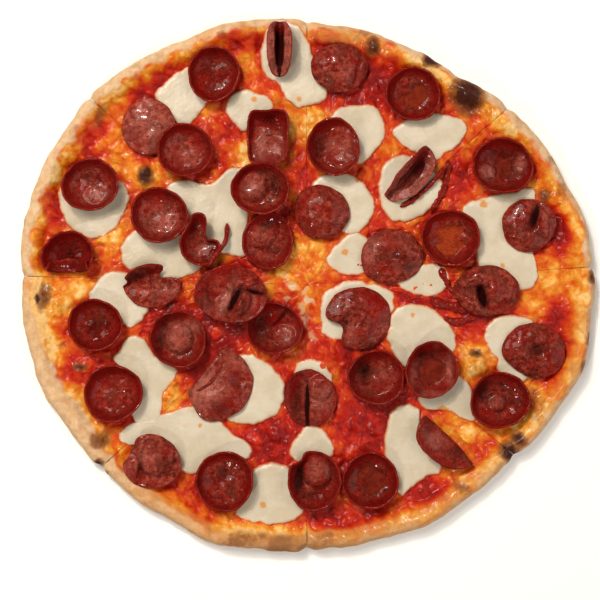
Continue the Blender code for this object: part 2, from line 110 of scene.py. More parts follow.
# Sauce that shows, above 0, and melted cheese, below 0:
# (plan x, plan y, half width, half depth, strength).
ZONES = (
    (156, 82, 20, 7, 1, 38), (237, 40, 15, 6, 0.8, 5), (338, 40, 20, 6, 0.9, -6),
    (360, 98, 22, 5, 1, -6), (377, 74, 13, 9, 1), (90, 147, 6, 11, 0.9, 20),
    (56, 215, 5, 16, 1, 10), (233, 128, 7, 8, 0.9), (297, 168, 8, 12, 0.9), (457, 178, 7, 15, 1.1),
    (558, 232, 5, 11, 1.3, 15), (85, 367, 14, 12, 0.9), (215, 333, 18, 15, 1.2),
    (477, 325, 13, 11, 1.3), (270, 442, 20, 12, 1), (365, 425, 20, 15, 1.2), (330, 352, 14, 12, 1),
    (425, 489, 16, 6, 1.1, -20), (342, 519, 20, 8, 1.2, -4), (212, 510, 10, 6, 0.8, 10),
    (492, 444, 10, 6, 0.9, -30), (562, 318, 7, 16, 0.6), (407, 296, 9, 7, 0.7),
    (152, 312, 12, 8, 1), (290, 428, 12, 8, 1.1), (192, 368, 10, 10, 0.7), (395, 410, 10, 12, 1),
    (120, 352, 7, 5, 0.8), (190, 500, 14, 5, 0.5, 12), (140, 500, 9, 4, 0.4, 30),
    (318, 250, 6, 8, -0.3), (372, 245, 6, 16, 0.6), (240, 268, 10, 5, 0.7),
    (290, 262, 14, 10, -0.9), (310, 255, 12, 12, -0.7), (249, 68, 6, 12, -1),
    (310, 127, 12, 13, -1.2), (207, 117, 5, 8, -1), (119, 138, 10, 15, -0.8),
    (246, 153, 4, 8, -1.1), (558, 282, 18, 14, -1.1), (470, 428, 18, 7, -1.2),
    (476, 360, 12, 11, -1.5), (521, 402, 10, 13, -1.2), (60, 297, 16, 15, -1.3),
    (48, 335, 7, 12, -0.7), (112, 236, 11, 11, -1), (210, 500, 10, 5, -0.7),
    (418, 519, 14, 5, -0.9, -20), (548, 390, 9, 9, -0.8), (145, 178, 9, 10, -0.9),
    (552, 335, 8, 14, 0.5), (171, 393, 6, 11, -1.5), (60, 240, 5, 12, -0.5),
    (430, 300, 12, 4, 0.9), (460, 60, 12, 6, -0.8, -20), (520, 300, 10, 8, -0.5),
    (215, 150, 8, 8, 0.5), (100, 95, 12, 6, -0.8, 40), (170, 60, 16, 4, -0.7, 30),
    (385, 60, 10, 8, 0.7), (440, 76, 15, 5, -0.9, -30), (400, 42, 12, 4, -0.8, -15),
    (352, 32, 9, 3, -0.6), (500, 120, 8, 8, -0.5), (540, 140, 8, 8, -0.5),
    (315, 290, 10, 18, -0.2),
)
# Pale torn dough: (plan x, plan y, half width, half depth, strength).
TORN = (
    (292, 286, 5.2, 1.8, 1, -28), (286, 278, 3.4, 1.4, 0.8, -8), (309, 299, 4.6, 1.9, 1, -48),
    (288, 299, 3.6, 2.2, 0.7, 10), (302, 307, 3, 4.2, 0.75, 10), (306, 321, 2.2, 4.4, 0.6, 20),
    (313, 336, 2.2, 4.6, 0.7, 4), (305, 290, 2.4, 1.6, 0.7, 30), (300, 268, 4, 1.2, 0.4),
    (297, 330, 1.6, 5, 0.5, -12),
)
# Tomato in lumps: (plan x, plan y, radius, height).
LUMPS = (
    (330, 354, 7, 2.2), (322, 366, 4.5, 1.2), (275, 436, 6.5, 1.6), (258, 444, 5.5, 1.2),
    (290, 420, 5, 1), (352, 426, 6, 1.4), (372, 430, 5.5, 1.6), (362, 446, 5, 1.2),
    (424, 492, 6, 1), (345, 522, 7, 1), (470, 318, 5, 1), (238, 128, 4, 1),
)

# ----------------------------------------------------------- mozzarella pools
POOL_THICK, MELT_THICK = 1.5, 0.9
POOL_ROUND = 3.2                    # width of the rounded edge
POOL_ROOT = 0.7                     # how far the edge reaches into the crust
POOL_DENT = 0.9                     # depth of the dent under a slice
# Outlines of the pools on the plan. A node's pools are made in one piece.
POOLS = {
    "a": (
        ((153, 96), (162, 85), (175, 73), (190, 66), (205, 75), (212, 92), (207, 104), (197, 117),
         (184, 126), (172, 118), (161, 106)),
    ),
    "b": (
        ((224, 106), (231, 94), (242, 89), (256, 91), (268, 97), (275, 106), (268, 118),
         (255, 126), (244, 131), (235, 124), (227, 114)),
        ((260, 62), (262, 42), (268, 25), (282, 19), (296, 25), (306, 37), (314, 55), (323, 72),
         (329, 90), (322, 102), (302, 107), (287, 101), (279, 86), (266, 75)),
    ),
    "c": (
        ((330, 118), (338, 108), (350, 104), (366, 104), (379, 110), (386, 124), (383, 141),
         (374, 154), (363, 163), (350, 160), (338, 145)),
        ((311, 184), (322, 175), (338, 171), (354, 176), (368, 187), (376, 202), (371, 218),
         (361, 231), (350, 235), (335, 225), (320, 205)),
    ),
    "d": (
        ((392, 132), (400, 123), (415, 117), (432, 112), (447, 115), (461, 118), (468, 127),
         (464, 139), (455, 148), (444, 155), (436, 161), (425, 156), (411, 150), (399, 142)),
        ((379, 182), (382, 167), (392, 157), (405, 154), (420, 160), (436, 172), (444, 188),
         (436, 203), (424, 214), (408, 222), (393, 221), (383, 209), (379, 195)),
    ),
    "e": (
        ((462, 208), (476, 199), (495, 194), (516, 190), (534, 188), (536, 200), (528, 215),
         (526, 235), (533, 250), (538, 266), (537, 282), (526, 291), (508, 292), (490, 282),
         (478, 264), (474, 244), (466, 225)),
    ),
    "f": (
        ((165, 190), (172, 181), (184, 179), (198, 182), (212, 183), (222, 173), (234, 166),
         (246, 170), (250, 185), (246, 200), (249, 214), (246, 230), (250, 248), (244, 257),
         (228, 254), (210, 250), (192, 240), (178, 220), (166, 205)),
        ((120, 248), (126, 237), (138, 228), (155, 226), (175, 230), (192, 240), (203, 252),
         (203, 265), (192, 275), (175, 279), (157, 278), (140, 272), (124, 266)),
    ),
    "g": (
        ((88, 300), (91, 288), (100, 277), (112, 271), (126, 272), (140, 282), (150, 296),
         (149, 310), (140, 322), (130, 328), (118, 320), (104, 314), (94, 309)),
    ),
    "h": (
        ((112, 360), (118, 350), (124, 340), (134, 335), (145, 341), (155, 355), (168, 362),
         (177, 371), (172, 384), (162, 396), (162, 410), (158, 424), (140, 428), (128, 410),
         (130, 390), (122, 372)),
        ((119, 442), (119, 431), (130, 424), (146, 420), (162, 414), (178, 410), (193, 406),
         (208, 410), (222, 422), (236, 436), (250, 446), (250, 458), (236, 464), (215, 462),
         (203, 468), (192, 476), (180, 470), (160, 450), (138, 446)),
    ),
    "i": (
        ((228, 358), (240, 354), (254, 356), (268, 363), (280, 375), (286, 391), (282, 407),
         (272, 417), (255, 424), (238, 425), (226, 418), (222, 390)),
    ),
    "j": (
        ((390, 318), (398, 307), (412, 304), (426, 305), (438, 312), (449, 323), (457, 338),
         (455, 352), (440, 362), (420, 368), (404, 368), (394, 357), (388, 342), (388, 328)),
    ),
    "k": (
        ((485, 335), (489, 324), (498, 317), (510, 315), (524, 316), (534, 320), (536, 340),
         (530, 360), (528, 378), (520, 383), (508, 377), (497, 371), (497, 360), (489, 350)),
    ),
    "l": (
        ((250, 472), (262, 465), (276, 462), (287, 467), (298, 480), (306, 497), (305, 510),
         (296, 520), (280, 524), (262, 524), (246, 521), (236, 514), (240, 500), (246, 485)),
    ),
    "m": (
        ((388, 424), (391, 411), (400, 405), (412, 405), (421, 411), (420, 428), (428, 445),
         (440, 460), (440, 472), (426, 478), (415, 487), (402, 496), (395, 490), (395, 476),
         (387, 460), (384, 444)),
    ),
}
# Thinner pools, fused to the slices in the frame.
MELTED = (
    ((326, 258), (334, 247), (345, 236), (357, 231), (370, 240), (373, 256), (368, 270),
     (354, 276), (340, 273), (331, 267)),
    ((396, 281), (408, 272), (420, 265), (434, 262), (446, 268), (450, 281), (443, 292),
     (429, 297), (413, 294), (402, 288)),
    ((60, 190), (59, 203), (63, 218), (72, 229), (85, 237), (99, 237), (111, 231), (121, 219),
     (128, 205), (128, 192), (118, 180), (95, 172), (72, 176)),
    ((320, 306), (324, 294), (334, 286), (350, 281), (367, 283), (384, 287), (394, 295),
     (393, 310), (380, 325), (350, 338), (334, 340), (324, 335), (320, 322)),
    ((419, 399), (424, 394), (438, 396), (447, 385), (452, 371), (462, 376), (471, 384),
     (474, 396), (478, 408), (477, 420), (468, 421), (455, 414), (440, 410), (425, 409)),
    ((289, 452), (294, 440), (302, 429), (314, 426), (325, 431), (334, 445), (331, 458),
     (314, 464), (298, 462)),
    ((293, 377), (297, 364), (308, 359), (320, 361), (330, 370), (332, 382), (320, 392),
     (300, 390)),
)
# Golden specks on the pools: (plan x, plan y, radius in mm).
SPECKS = (
    (254, 99, 2.2), (299, 99, 2), (357, 180, 1.6), (345, 252, 2.6), (503, 265, 2), (413, 315, 1.8),
    (263, 505, 2.4), (484, 204, 3), (443, 411, 4), (200, 426, 1.6),
)

# ------------------------------------------------------------------ pepperoni
SLICE = 1.3                         # thickness of a slice
SINK = 0.35                         # how far a slice settles into the cheese
AROUND, RINGS = 84, 25
DEPTH_FLAT = 1.4                    # depth above which a spot is flat on top
# A fold's darkness is painted shade, laid on its inside.
OUTSIDE_DARK = 0.2                  # share of a fold's darkness on its outside
# Name, plan place, half sizes, lip, crown, lean, squareness, tone (0 dark red
# to 1 pink), grease level (0 for none).
ROUNDS = (
    ("01", (214, 75), (14.8, 15.4), 8, 0, (0, 0), 0, 0.15, 0),
    ("03", (339.5, 68), (16, 14.2), 0.8, 6.5, (0, 4), 0, 0.65, 0),
    ("04", (412.5, 94.5), (15.4, 15.4), 8, 0, (2, 0), 0, 0.25, 0.7),
    ("05", (149, 127), (16, 16), 0.6, 3.4, (0, 0), 0, 0.95, 0),
    ("06", (184.5, 151), (15.4, 15.4), 7.5, 0, (0, 5), 0, 0.5, 0),
    ("07", (268, 136.5), (11.4, 15.6), 8, 0, (4, 0), 0.8, 0.4, 0),
    ("08", (334, 148), (15.1, 16.2), 8.5, 0, (0, -3), 0, 0.55, 0),
    ("10", (502, 166.5), (17.4, 15.7), 8, 0, (0, 0), 0, 0.1, 0.4),
    ("11", (91.5, 186), (16, 15.1), 8.5, 0, (-3, 0), 0, 0.45, 0),
    ("12", (160, 215.5), (16.5, 15.4), 8, 0, (0, 0), 0, 0.55, 0),
    ("14", (268, 241), (14.8, 16), 5.5, 1, (0, 0), 0, 0.45, 0),
    ("13", (261, 190.5), (16.2, 15.1), 8, 0, (-4, 0), 0, 0.6, 0),
    ("15", (321.5, 212), (15.6, 15.6), 0.8, 6.5, (0, 0), 0, 0.6, 0),
    ("16", (200, 244), (11.6, 12.2), 7, 0, (0, 3), 0, 0.4, 0),
    ("17", (529, 225), (15.6, 15.1), 1.6, 5, (0, -3), 0, 0.5, 0),
    ("19", (392, 256.5), (18.2, 15.6), 0.8, 5.5, (0, 0), 0, 0.6, 0),
    ("18", (450, 238), (16.4, 16.2), 8, 0, (0, 0), 0, 0.35, 0.9),
    ("20", (69, 257), (14.8, 14), 8.5, 0, (-3, 0), 0, 0, 0),
    ("21", (151, 283), (16.8, 14.2), 1.6, 1, (3, 0), 0, 0.6, 0),
    ("23", (274, 328), (16, 15), 7, 0, (0, 0), 0, 0.4, 0),
    ("22", (231, 294), (21, 16.6), 3.6, 3.2, (0, 3), 0, 0.45, 0),
    ("24", (486, 291), (19.1, 14.5), 1, 6, (0, 0), 0, 0.6, 0),
    ("25", (358, 318), (18.4, 18.4), 1.6, 5.4, (0, 3), 0, 0.5, 0),
    ("26", (96, 325), (15.1, 15.1), 8, 0, (0, 0), 0, 0.1, 0),
    ("27", (178.5, 339), (15.7, 16.5), 7.5, 0, (0, 0), 0, 0.55, 0),
    ("28", (217, 384), (20.3, 21.4), 0.6, 3, (0, 3), 0, 0.9, 0),
    ("29", (310, 398), (15.1, 16.2), 4, 3.5, (0, 0), 0, 0.55, 0),
    ("30", (376, 377), (16.6, 15.1), 7.5, 0, (0, 0), 0, 0.35, 0),
    ("31", (431, 370), (14.6, 16.6), 9.5, 0, (0, 0), 0, 0.35, 1.2),
    ("32", (534, 351), (18, 16.2), 1, 5, (0, 0), 0, 0.45, 0),
    ("33", (499, 400), (17.4, 15.7), 7.5, 0, (0, 0), 0, 0.25, 0),
    ("34", (114, 393), (16.5, 16.5), 8, 0, (0, 0), 0, 0.35, 0),
    ("35", (152, 461), (16.6, 15.9), 1.2, 3, (0, 0), 0, 0.7, 0),
    ("36", (225, 480.5), (16.8, 16.8), 8, 0, (0, 0), 0, 0.35, 0),
    ("37", (314, 480), (15.5, 16.8), 7.5, 0, (0, 0), 0, 0.6, 0),
    ("38", (370, 480), (15.7, 16.5), 8, 0, (0, 0), 0, 0.1, 1),
)
# Notches in the outline, and lobes below 0: (direction, spread, depth).
TEARS = {
    "16": ((43, 30, 0.62), (91, 24, -0.4)), "25": ((208, 24, 0.42),), "35": ((152, 28, 0.2),),
    "37": ((128, 14, 0.16),), "21": ((38, 22, 0.66), (172, 10, 0.14)), "24": ((215, 22, 0.12),),
    "32": ((225, 26, 0.12),), "28": ((208, 28, 0.15),), "31": ((300, 30, 0.05),),
}
# Redder places, partly the casing's own red and partly painted shade on the upper-left
# walls of cups: (plan x, plan y, half width, half depth on the plan, strength).
FLUSH_AND_SHADE = {
    "01": ((202, 84, 6, 18, 0.8, -20),), "02": ((279, 28, 9, 8, 1.2),),
    "03": ((358, 72, 6, 16, 0.7, -10),), "07": ((268, 120, 19, 8, 1),),
    "08": ((320, 134, 12, 8, 0.6, 40),), "09": ((420, 156, 12, 9, 1, 40),),
    "13": ((246, 176, 14, 8, 0.8, 40),), "15": ((306, 200, 8, 16, 0.5, -30),),
    "16": ((188, 246, 5, 16, 0.5, -20),), "17": ((516, 218, 8, 12, 0.6),),
    "18": ((436, 228, 10, 16, 0.7, -30),), "19": ((380, 268, 14, 7, 0.6, 10),),
    "20": ((56, 246, 12, 16, 0.9, -40),),
    "21": ((152, 268, 9, 5, 1, 23), (124, 279, 8, 5, 0.8, 23)),
    "22": ((214, 276, 22, 10, 0.4, 30), (252, 302, 8, 10, 0.7)),
    "23": ((276, 318, 14, 7, 0.9, -20),), "25": ((374, 300, 10, 22, 0.8, 45),),
    "28": ((228, 404, 20, 9, 0.8, 20), (238, 380, 8, 12, 0.6)),
    "29": ((292, 388, 5, 16, 1, -12), (320, 380, 10, 8, 0.6), (326, 418, 8, 8, 0.7)),
    "31": ((442, 388, 12, 8, 0.5, 30),),
    "32": ((520, 336, 14, 8, 0.5, 40), (552, 366, 8, 12, 0.6, -40)),
    "33": ((488, 412, 14, 6, 0.7, -20),), "34": ((104, 380, 14, 8, 0.7, 40),),
    "35": ((134, 476, 12, 6, 0.7, -30),),
    "37": ((322, 494, 12, 8, 0.9, 20), (306, 466, 5, 14, 0.7, -10)),
    "39": ((424, 446, 24, 3.5, 0.6, -50), (452, 464, 18, 4, 0.6, -12)),
}
# Bumps and dents: (plan x, plan y, half width, half depth on the plan, height
# in mm). Those above DEPTH_FLAT are flatter on top, with steeper sides.
BUMPS = {
    "01": ((222, 70, 9, 7, 1), (206, 84, 7, 6, 0.8)),
    "03": ((358, 68, 3, 16, -1.6, -12), (333, 60, 8, 6, 0.6)), "04": ((404, 88, 7, 7, 0.6),),
    "05": ((143, 120, 9, 6, 0.7), (158, 135, 7, 7, 0.6)), "06": ((190, 158, 9, 7, 0.8),),
    "07": ((269, 148, 17, 21, 3.6), (268, 127, 18, 2.4, 1.2)),
    "08": ((343, 148, 15, 19, 3.6), (322, 152, 6, 14, -1.2)),
    "10": ((488, 172, 8, 7, 2), (520, 165, 7, 10, 2.2)), "11": ((96, 195, 10, 8, 1.2),),
    "12": ((164, 222, 10, 8, 0.9), (152, 210, 6, 5, 0.6)),
    "13": ((254, 187, 13, 14, 5.6), (276, 188, 5, 9, -1)),
    "14": ((262, 236, 13, 11, 2.6), (272, 252, 10, 6, -1.2)),
    "15": ((312, 222, 8, 8, 0.8), (330, 205, 8, 6, 0.7)),
    "16": ((206, 252, 12, 8, 2.2, 45), (194, 236, 5, 12, -0.8, -10)),
    "17": ((535, 216, 5.5, 14, -4.6, -14), (544, 224, 3.6, 15, 2.4, 4),
           (515, 230, 6, 8, 0.9), (526, 228, 5, 6, -1.4), (507, 229, 3, 5, -0.8)),
    "19": ((388, 258, 13, 6, -2.2, 10), (408, 264, 10, 8, -1.4), (378, 248, 9, 8, 0.8),
           (396, 246, 12, 5, 0.6)),
    "20": ((82, 258, 9, 7, 1.6),),
    "22": ((235, 300, 3.6, 16, -5, -27), (226, 299, 4.5, 16, 2, -25),
           (243, 303, 7, 12, 2.4, -20), (256, 287, 15, 3.4, 2.2, -12), (212, 290, 6, 18, -1.4)),
    "23": ((284, 335, 11, 9, 1.6), (276, 318, 2.4, 12, 2.6, -42), (262, 326, 9, 12, -1.6)),
    "24": ((482, 296, 6, 14.5, -6.5, 13), (477, 283, 9, 2.6, 1.6, 14),
           (500, 292, 9, 12, 1.2), (466, 283, 9, 8, 0.5)),
    "25": ((348, 322, 11, 7, -2.2, 30), (364, 322, 3.5, 14, 0.9, 10), (368, 300, 8, 8, 0.8)),
    "26": ((92, 328, 7, 6, 0.9), (105, 318, 6, 5, 0.8)),
    "27": ((179, 338, 13.5, 15, 5.6), (192, 325, 7, 7, 1.6)),
    "28": ((238, 380, 9, 8, -1.8), (216, 400, 10, 8, 0.8), (240, 402, 9, 8, 0.6)),
    "29": ((307.5, 404, 2.4, 28, -5), (297, 398, 7, 22, -2.8), (321, 388, 11, 12, 3),
           (320, 412, 11, 10, 2)),
    "30": ((380, 384, 10, 8, 1.4), (366, 372, 6, 9, -0.8)),
    "32": ((537, 352, 9.5, 9, -3.4), (518, 350, 8, 9, 1), (552, 358, 6, 9, 0.9),
           (533, 374, 6, 6, -1.6)),
    "33": ((496, 402, 10, 9, 3.4), (509, 400, 3.4, 9, -1.6), (516, 394, 4, 10, 1.6, 10),
           (484, 391, 7, 9, -1.2)),
    "34": ((110, 398, 9, 8, 0.9), (122, 386, 7, 6, 0.8)),
    "35": ((157, 456, 18, 17, 3.6), (131, 467, 9, 14, 1.2), (141, 466, 2.6, 15, -1.8, -12),
           (164, 464, 9, 8, -1.2)),
    "36": ((230, 486, 10, 8, 1), (216, 474, 7, 6, 0.8)),
    "37": ((317, 471, 14, 15, 6.2), (310, 452, 10, 8, 2.5)), "38": ((362, 486, 7, 6, 0.6),),
}
# Darker places, above 0, mostly painted shade in slots, dents and on the shaded walls of
# cups, and paler ones, partly paler meat and partly painted highlights: (plan x, plan y,
# half width, half depth on the plan, strength).
PAINTED_LIGHT_AND_TONE = {
    "01": ((207, 68, 12, 8, 0.7, 30), (214, 88, 10, 5, 0.3)),
    "09": ((401, 189, 9, 6, -0.4, 50), (420, 166, 13, 8, 1, 50), (412, 177, 5, 5, -0.3, 50)),
    "39": ((428, 424, 7, 9, 0.9), (434, 440, 8, 9, -0.8), (456, 453, 8, 7, 1),
           (442, 428, 18, 3, 0.5, -44)),
    "05": ((149, 127, 24, 24, -0.55),),
    "06": ((176, 142, 8, 6, 0.3, 30), (188, 156, 12, 10, -0.4)),
    "07": ((268, 118, 18, 9, 0.7), (262, 147, 6, 14, -0.9), (278, 148, 8, 14, -0.4)),
    "08": ((318, 146, 7, 17, 1.1, -8), (343, 148, 13, 16, -0.3), (330, 148, 5, 6, -0.7)),
    "10": ((502, 154, 24, 8, 0.9), (505, 170, 9, 7, 0.6), (488, 172, 7, 6, -0.8),
           (520, 164, 5, 8, -0.7)),
    "11": ((90, 174, 18, 7, 0.7), (96, 194, 12, 8, -0.5)), "12": ((163, 222, 13, 11, -0.6),),
    "13": ((275, 186, 6, 11, 1.4), (252, 184, 9, 11, -0.7), (244, 176, 6, 8, 0.7),
           (262, 172, 14, 4, 0.7)),
    "14": ((275, 250, 10, 8, 0.5), (260, 234, 9, 7, -0.3)),
    "16": ((194, 230, 5, 15, 1, -14), (212, 252, 6, 9, 0.8, -30), (202, 250, 9, 4, -0.7, 45)),
    "17": ((535, 217, 4.5, 14, 1.6, -12), (526, 229, 4, 5, 0.7), (546, 224, 3, 14, -0.6, 4)),
    "19": ((388, 258, 13, 5, 0.9, 10), (409, 265, 9, 7, 0.7), (370, 254, 7, 12, -0.7),
           (392, 243, 18, 5, -0.3)),
    "20": ((66, 252, 22, 14, 1), (69, 283, 24, 1.8, -1)),
    "21": ((136, 273, 22, 7.5, 1.3, 23), (165, 292, 12, 8, -0.4)),
    "22": ((235, 300, 3.6, 15, 1.8, -27), (255, 292, 12, 2.6, 1.6, -14),
           (208, 290, 7, 16, 0.6), (225, 301, 4, 13, -1.3, -25), (254, 301, 2.4, 8, -1.3),
           (243, 306, 5, 10, 0.5, -20)),
    "23": ((260, 328, 12, 15, 1.2), (286, 334, 9, 9, -0.5), (280, 316, 3, 10, 0.7, -42)),
    "24": ((482, 296, 5.2, 13, 2, 13), (466, 284, 13, 12, 0.4)),
    "25": ((344, 324, 9, 6, 0.8, 30), (348, 312, 14, 12, 0.3), (352, 332, 5, 8, -0.5)),
    "26": ((96, 325, 11, 10, 0.9),),
    "27": ((161, 338, 6, 20, 1.1, -10), (178, 336, 11, 13, -0.6), (194, 326, 8, 7, -0.5)),
    "28": ((198, 366, 9, 26, 0.9, -34), (222, 410, 12, 7, 0.9), (238, 380, 8, 7, 0.5),
           (206, 390, 16, 18, -1.1), (236, 366, 10, 10, -0.5)),
    "29": ((307.5, 408, 2.6, 26, 2), (297, 398, 8, 26, 1.1), (321, 396, 10, 20, -0.5)),
    "30": ((364, 372, 10, 15, 1.4), (380, 376, 10, 8, -0.3)),
    "31": ((420, 362, 6, 12, 1), (431, 354, 12, 4, 0.8), (450, 372, 4, 16, -0.9),
           (411, 374, 3, 14, -0.7), (431, 344, 16, 3, -0.8), (432, 395, 14, 4, -0.9)),
    "32": ((536, 351, 9, 8, 1.3), (533, 375, 8, 5, 0.9), (540, 357, 3, 2, -1)),
    "33": ((483, 390, 9, 12, 1.3), (493, 402, 7, 6, -0.4), (503, 384, 12, 6, 0.7, -20)),
    "35": ((150, 455, 8, 10, -0.7), (166, 466, 9, 9, 0.6), (141, 467, 3, 14, 0.9, -12),
           (128, 466, 7, 11, -0.5)),
    "36": ((222, 476, 13, 12, 0.5),),
    "37": ((299, 478, 6, 16, 1.5, -8), (312, 496, 14, 5, 1), (313, 466, 8, 10, -0.4)),
    "38": ((370, 480, 12, 12, 0.4),),
}
OIL = {"18": 0.8, "04": 0.2}            # how orange the grease in a cup is
# Folded edges: (plan place on the crease, its direction, turn of the part to
# the left of it, radius). Directions and turns are in degrees.
BENDS = {
    "20": (((69, 272), 180, 98, 1.2),),
    "21": (((140, 280), 23, 42, 1.4),),
    "28": (((206, 370), 52, 158, 0.9),),
}
# Name, plan place, turn, darkness painted inside as shade, half length, half width of
# the sheet, fold radius, opening of the walls, how far their edges lean out again, roll,
# how egg-shaped and how bowed it is, tone.
FOLDS = (
    ("02", (279.5, 50), 90, 1.5, 16, 12.4, 3, 85, 0.6, 0, 0.16, 0, 0.6),
    ("09", (408, 173), 50, 0.4, 19, 13, 1.8, 60, 0.5, 27, 0.08, 0, 0.5),
    ("39", (448, 440), -44.5, 0, 19.6, 16.8, 2, 88, 0.2, 84, -0.1, 1.4, 0.5),
)
# How far a slice lies below its clearance in the frame, where it stands off.
DROP = {
    "06": 0.8, "08": 1.5, "09": 0.7, "20": 0.4, "21": 0.4, "22": 0.4, "26": 1.1, "27": 0.3,
    "29": 0.6, "32": 0.3, "36": 1.0, "37": 0.4,
}
# Thin strips: (half width, half height, lifts of both ends, plan points).
STRANDS = (
    (2.1, 1.1, (0.6, 0.6), ((449, 160), (447, 178), (440, 196), (431, 213))),
    (2.0, 1.1, (0.6, 0.6), ((440, 262), (443, 274), (448, 284), (454, 293))),
    (1.7, 1.6, (2.6, 3.2), ((400, 207), (414, 199), (431, 184), (446, 166))),
    (1.5, 1.9, (3.0, 8.6),
     ((227, 223), (227, 233), (225, 243), (219, 251), (214, 258), (209, 267))),
    (3.0, 1.6, (0.8, 0.8), ((431, 299), (443, 305), (456, 307), (468, 312))),
    (2.6, 1.3, (0.6, 0.6), ((444, 318), (455, 322), (468, 320), (478, 314))),
)
# First seeds of the pieces' noise.
POOL_SEED, MELT_SEED, ROUND_SEED, FOLD_SEED = 100, 300, 500, 600


# ---------------------------------------------------------------- small tools
LATTICE, JITTER = 128, 64           # sides of the random tables of noise and cells


def on_plan(px, py):
    """Millimetres from the middle of the crust to a point of the plan."""
    return (px - PLAN_X) * PLAN_UNIT, (PLAN_Y - py) * PLAN_UNIT


def ramp(value, low, high):
    """Smooth step from 0 at low to 1 at high."""
    t = np.clip((value - low) / (high - low), 0.0, 1.0)
    return t * t * (3.0 - 2.0 * t)


def noise(x, y, size, seed, octaves=4):
    """Fractal value noise between about -1 and 1, with features of one size."""
    total = np.zeros(np.shape(x))
    weight, reach = 1.0, 0.0
    for octave in range(octaves):
        lattice = np.random.default_rng(seed * 31 + octave).random((LATTICE, LATTICE)) * 2 - 1
        u = np.asarray(x) / size * 2 ** octave + 17.3 * octave
        v = np.asarray(y) / size * 2 ** octave + 5.1 * octave
        i, j = np.floor(u).astype(int), np.floor(v).astype(int)
        fu, fv = u - i, v - j
        fu, fv = fu * fu * (3 - 2 * fu), fv * fv * (3 - 2 * fv)
        i0, i1, j0, j1 = (k % LATTICE for k in (i, i + 1, j, j + 1))
        near = lattice[j0, i0] * (1 - fu) + lattice[j0, i1] * fu
        far = lattice[j1, i0] * (1 - fu) + lattice[j1, i1] * fu
        total += weight * (near * (1 - fv) + far * fv)
        reach += weight
        weight *= 0.5
    return total / reach * 1.6


def warped(x, y, reach, size, seed, octaves=3):
    """The place moved by noise, so that what is laid out on it turns ragged."""
    return (x + reach * noise(x, y, size, seed, octaves),
            y + reach * noise(x, y, size, seed + 1, octaves))


def cells(x, y, size, seed):
    """0 in the creases between round lumps of one size and 1 on the lumps."""
    jitter = np.random.default_rng(seed).random((JITTER, JITTER, 2))
    u, v = np.asarray(x) / size + 31.7, np.asarray(y) / size + 12.9
    i, j = np.floor(u).astype(int), np.floor(v).astype(int)
    first, second = np.full(u.shape, 9.0), np.full(u.shape, 9.0)
    for di in (-1, 0, 1):
        for dj in (-1, 0, 1):
            spot = jitter[(j + dj) % JITTER, (i + di) % JITTER]
            away = np.hypot(i + di + spot[..., 0] - u, j + dj + spot[..., 1] - v)
            second = np.minimum(second, np.maximum(first, away))
            first = np.minimum(first, away)
    return ramp(second - first, 0.0, 0.5)


def spline(points, count, closed=False):
    """Catmull-Rom curve through points, with count samples."""
    pts = np.array(points, float)
    if closed:
        padded = np.vstack([pts[-1:], pts, pts[:2]])
        spans = len(pts)
    else:
        padded = np.vstack([2 * pts[0] - pts[1], pts, 2 * pts[-1] - pts[-2]])
        spans = len(pts) - 1
    t = np.linspace(0.0, spans, count, endpoint=not closed)
    k = np.minimum(t.astype(int), spans - 1)
    u = (t - k)[:, None]
    p0, p1, p2, p3 = padded[k], padded[k + 1], padded[k + 2], padded[k + 3]
    return 0.5 * (2 * p1 + (p2 - p0) * u + (2 * p0 - 5 * p1 + 4 * p2 - p3) * u ** 2
                  + (3 * p1 - p0 - 3 * p2 + p3) * u ** 3)


def off_direction(degrees, centre):
    """Turn from one direction to others, between -180 and 180 degrees."""
    return (degrees - centre + 180.0) % 360.0 - 180.0


def lobes(degrees, table):
    """Sum of bell-shaped lobes over directions."""
    total = np.zeros(np.shape(degrees))
    for centre, spread, height in table:
        off = off_direction(degrees, centre)
        total = total + height * np.exp(-(off / spread) ** 2)
    return total


def blob(x, y, px, py, half_x, half_y, turn=0.0):
    """Squared distance from a place of the plan, 1 on the ellipse's edge."""
    bx, by = on_plan(px, py)
    cos, sin = math.cos(math.radians(turn)), math.sin(math.radians(turn))
    u = ((x - bx) * cos + (y - by) * sin) / half_x
    v = ((y - by) * cos - (x - bx) * sin) / half_y
    return u * u + v * v


def with_turn(table):
    """Rows of a table of places, with a turn of 0 where none is given."""
    return [row if len(row) == 6 else (*row, 0) for row in table]


def new_piece(name, verts, faces, masks, material, slot, replaced):
    """Piece from vertices in millimetres, with one float mask for each key."""
    mesh = bpy.data.meshes.new(name)
    mesh.from_pydata((np.asarray(verts) * MM).tolist(), [], faces)
    shape = bmesh.new()
    shape.from_mesh(mesh)
    bmesh.ops.recalc_face_normals(shape, faces=shape.faces)
    shape.to_mesh(mesh)
    shape.free()
    for key, values in masks.items():
        layer = mesh.attributes.new(key, "FLOAT", "POINT")
        layer.data.foreach_set("value", np.asarray(values, np.float32))
    mesh.polygons.foreach_set("use_smooth", [True] * len(mesh.polygons))
    mesh.materials.append(material)
    mesh.update()
    piece = bpy.data.objects.new(name, mesh)
    bpy.context.collection.objects.link(piece)
    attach(piece, "root")
    if replaced:
        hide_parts(*replaced)


def grid_faces(rows, cols, start=0):
    """Quads of a tube of rows by cols, numbered along the rows."""
    faces = []
    for r in range(rows - 1):
        for c in range(cols):
            a = start + r * cols + c
            b = start + r * cols + (c + 1) % cols
            faces.append((a, b, b + cols, a + cols))
    return faces


# ------------------------------------------------------------------ materials
def srgb(red, green, blue):
    """Linear colour from display values of 0 to 255."""
    def linear(value):
        value /= 255.0
        return value / 12.92 if value <= 0.04045 else ((value + 0.055) / 1.055) ** 2.4
    return linear(red), linear(green), linear(blue), 1.0


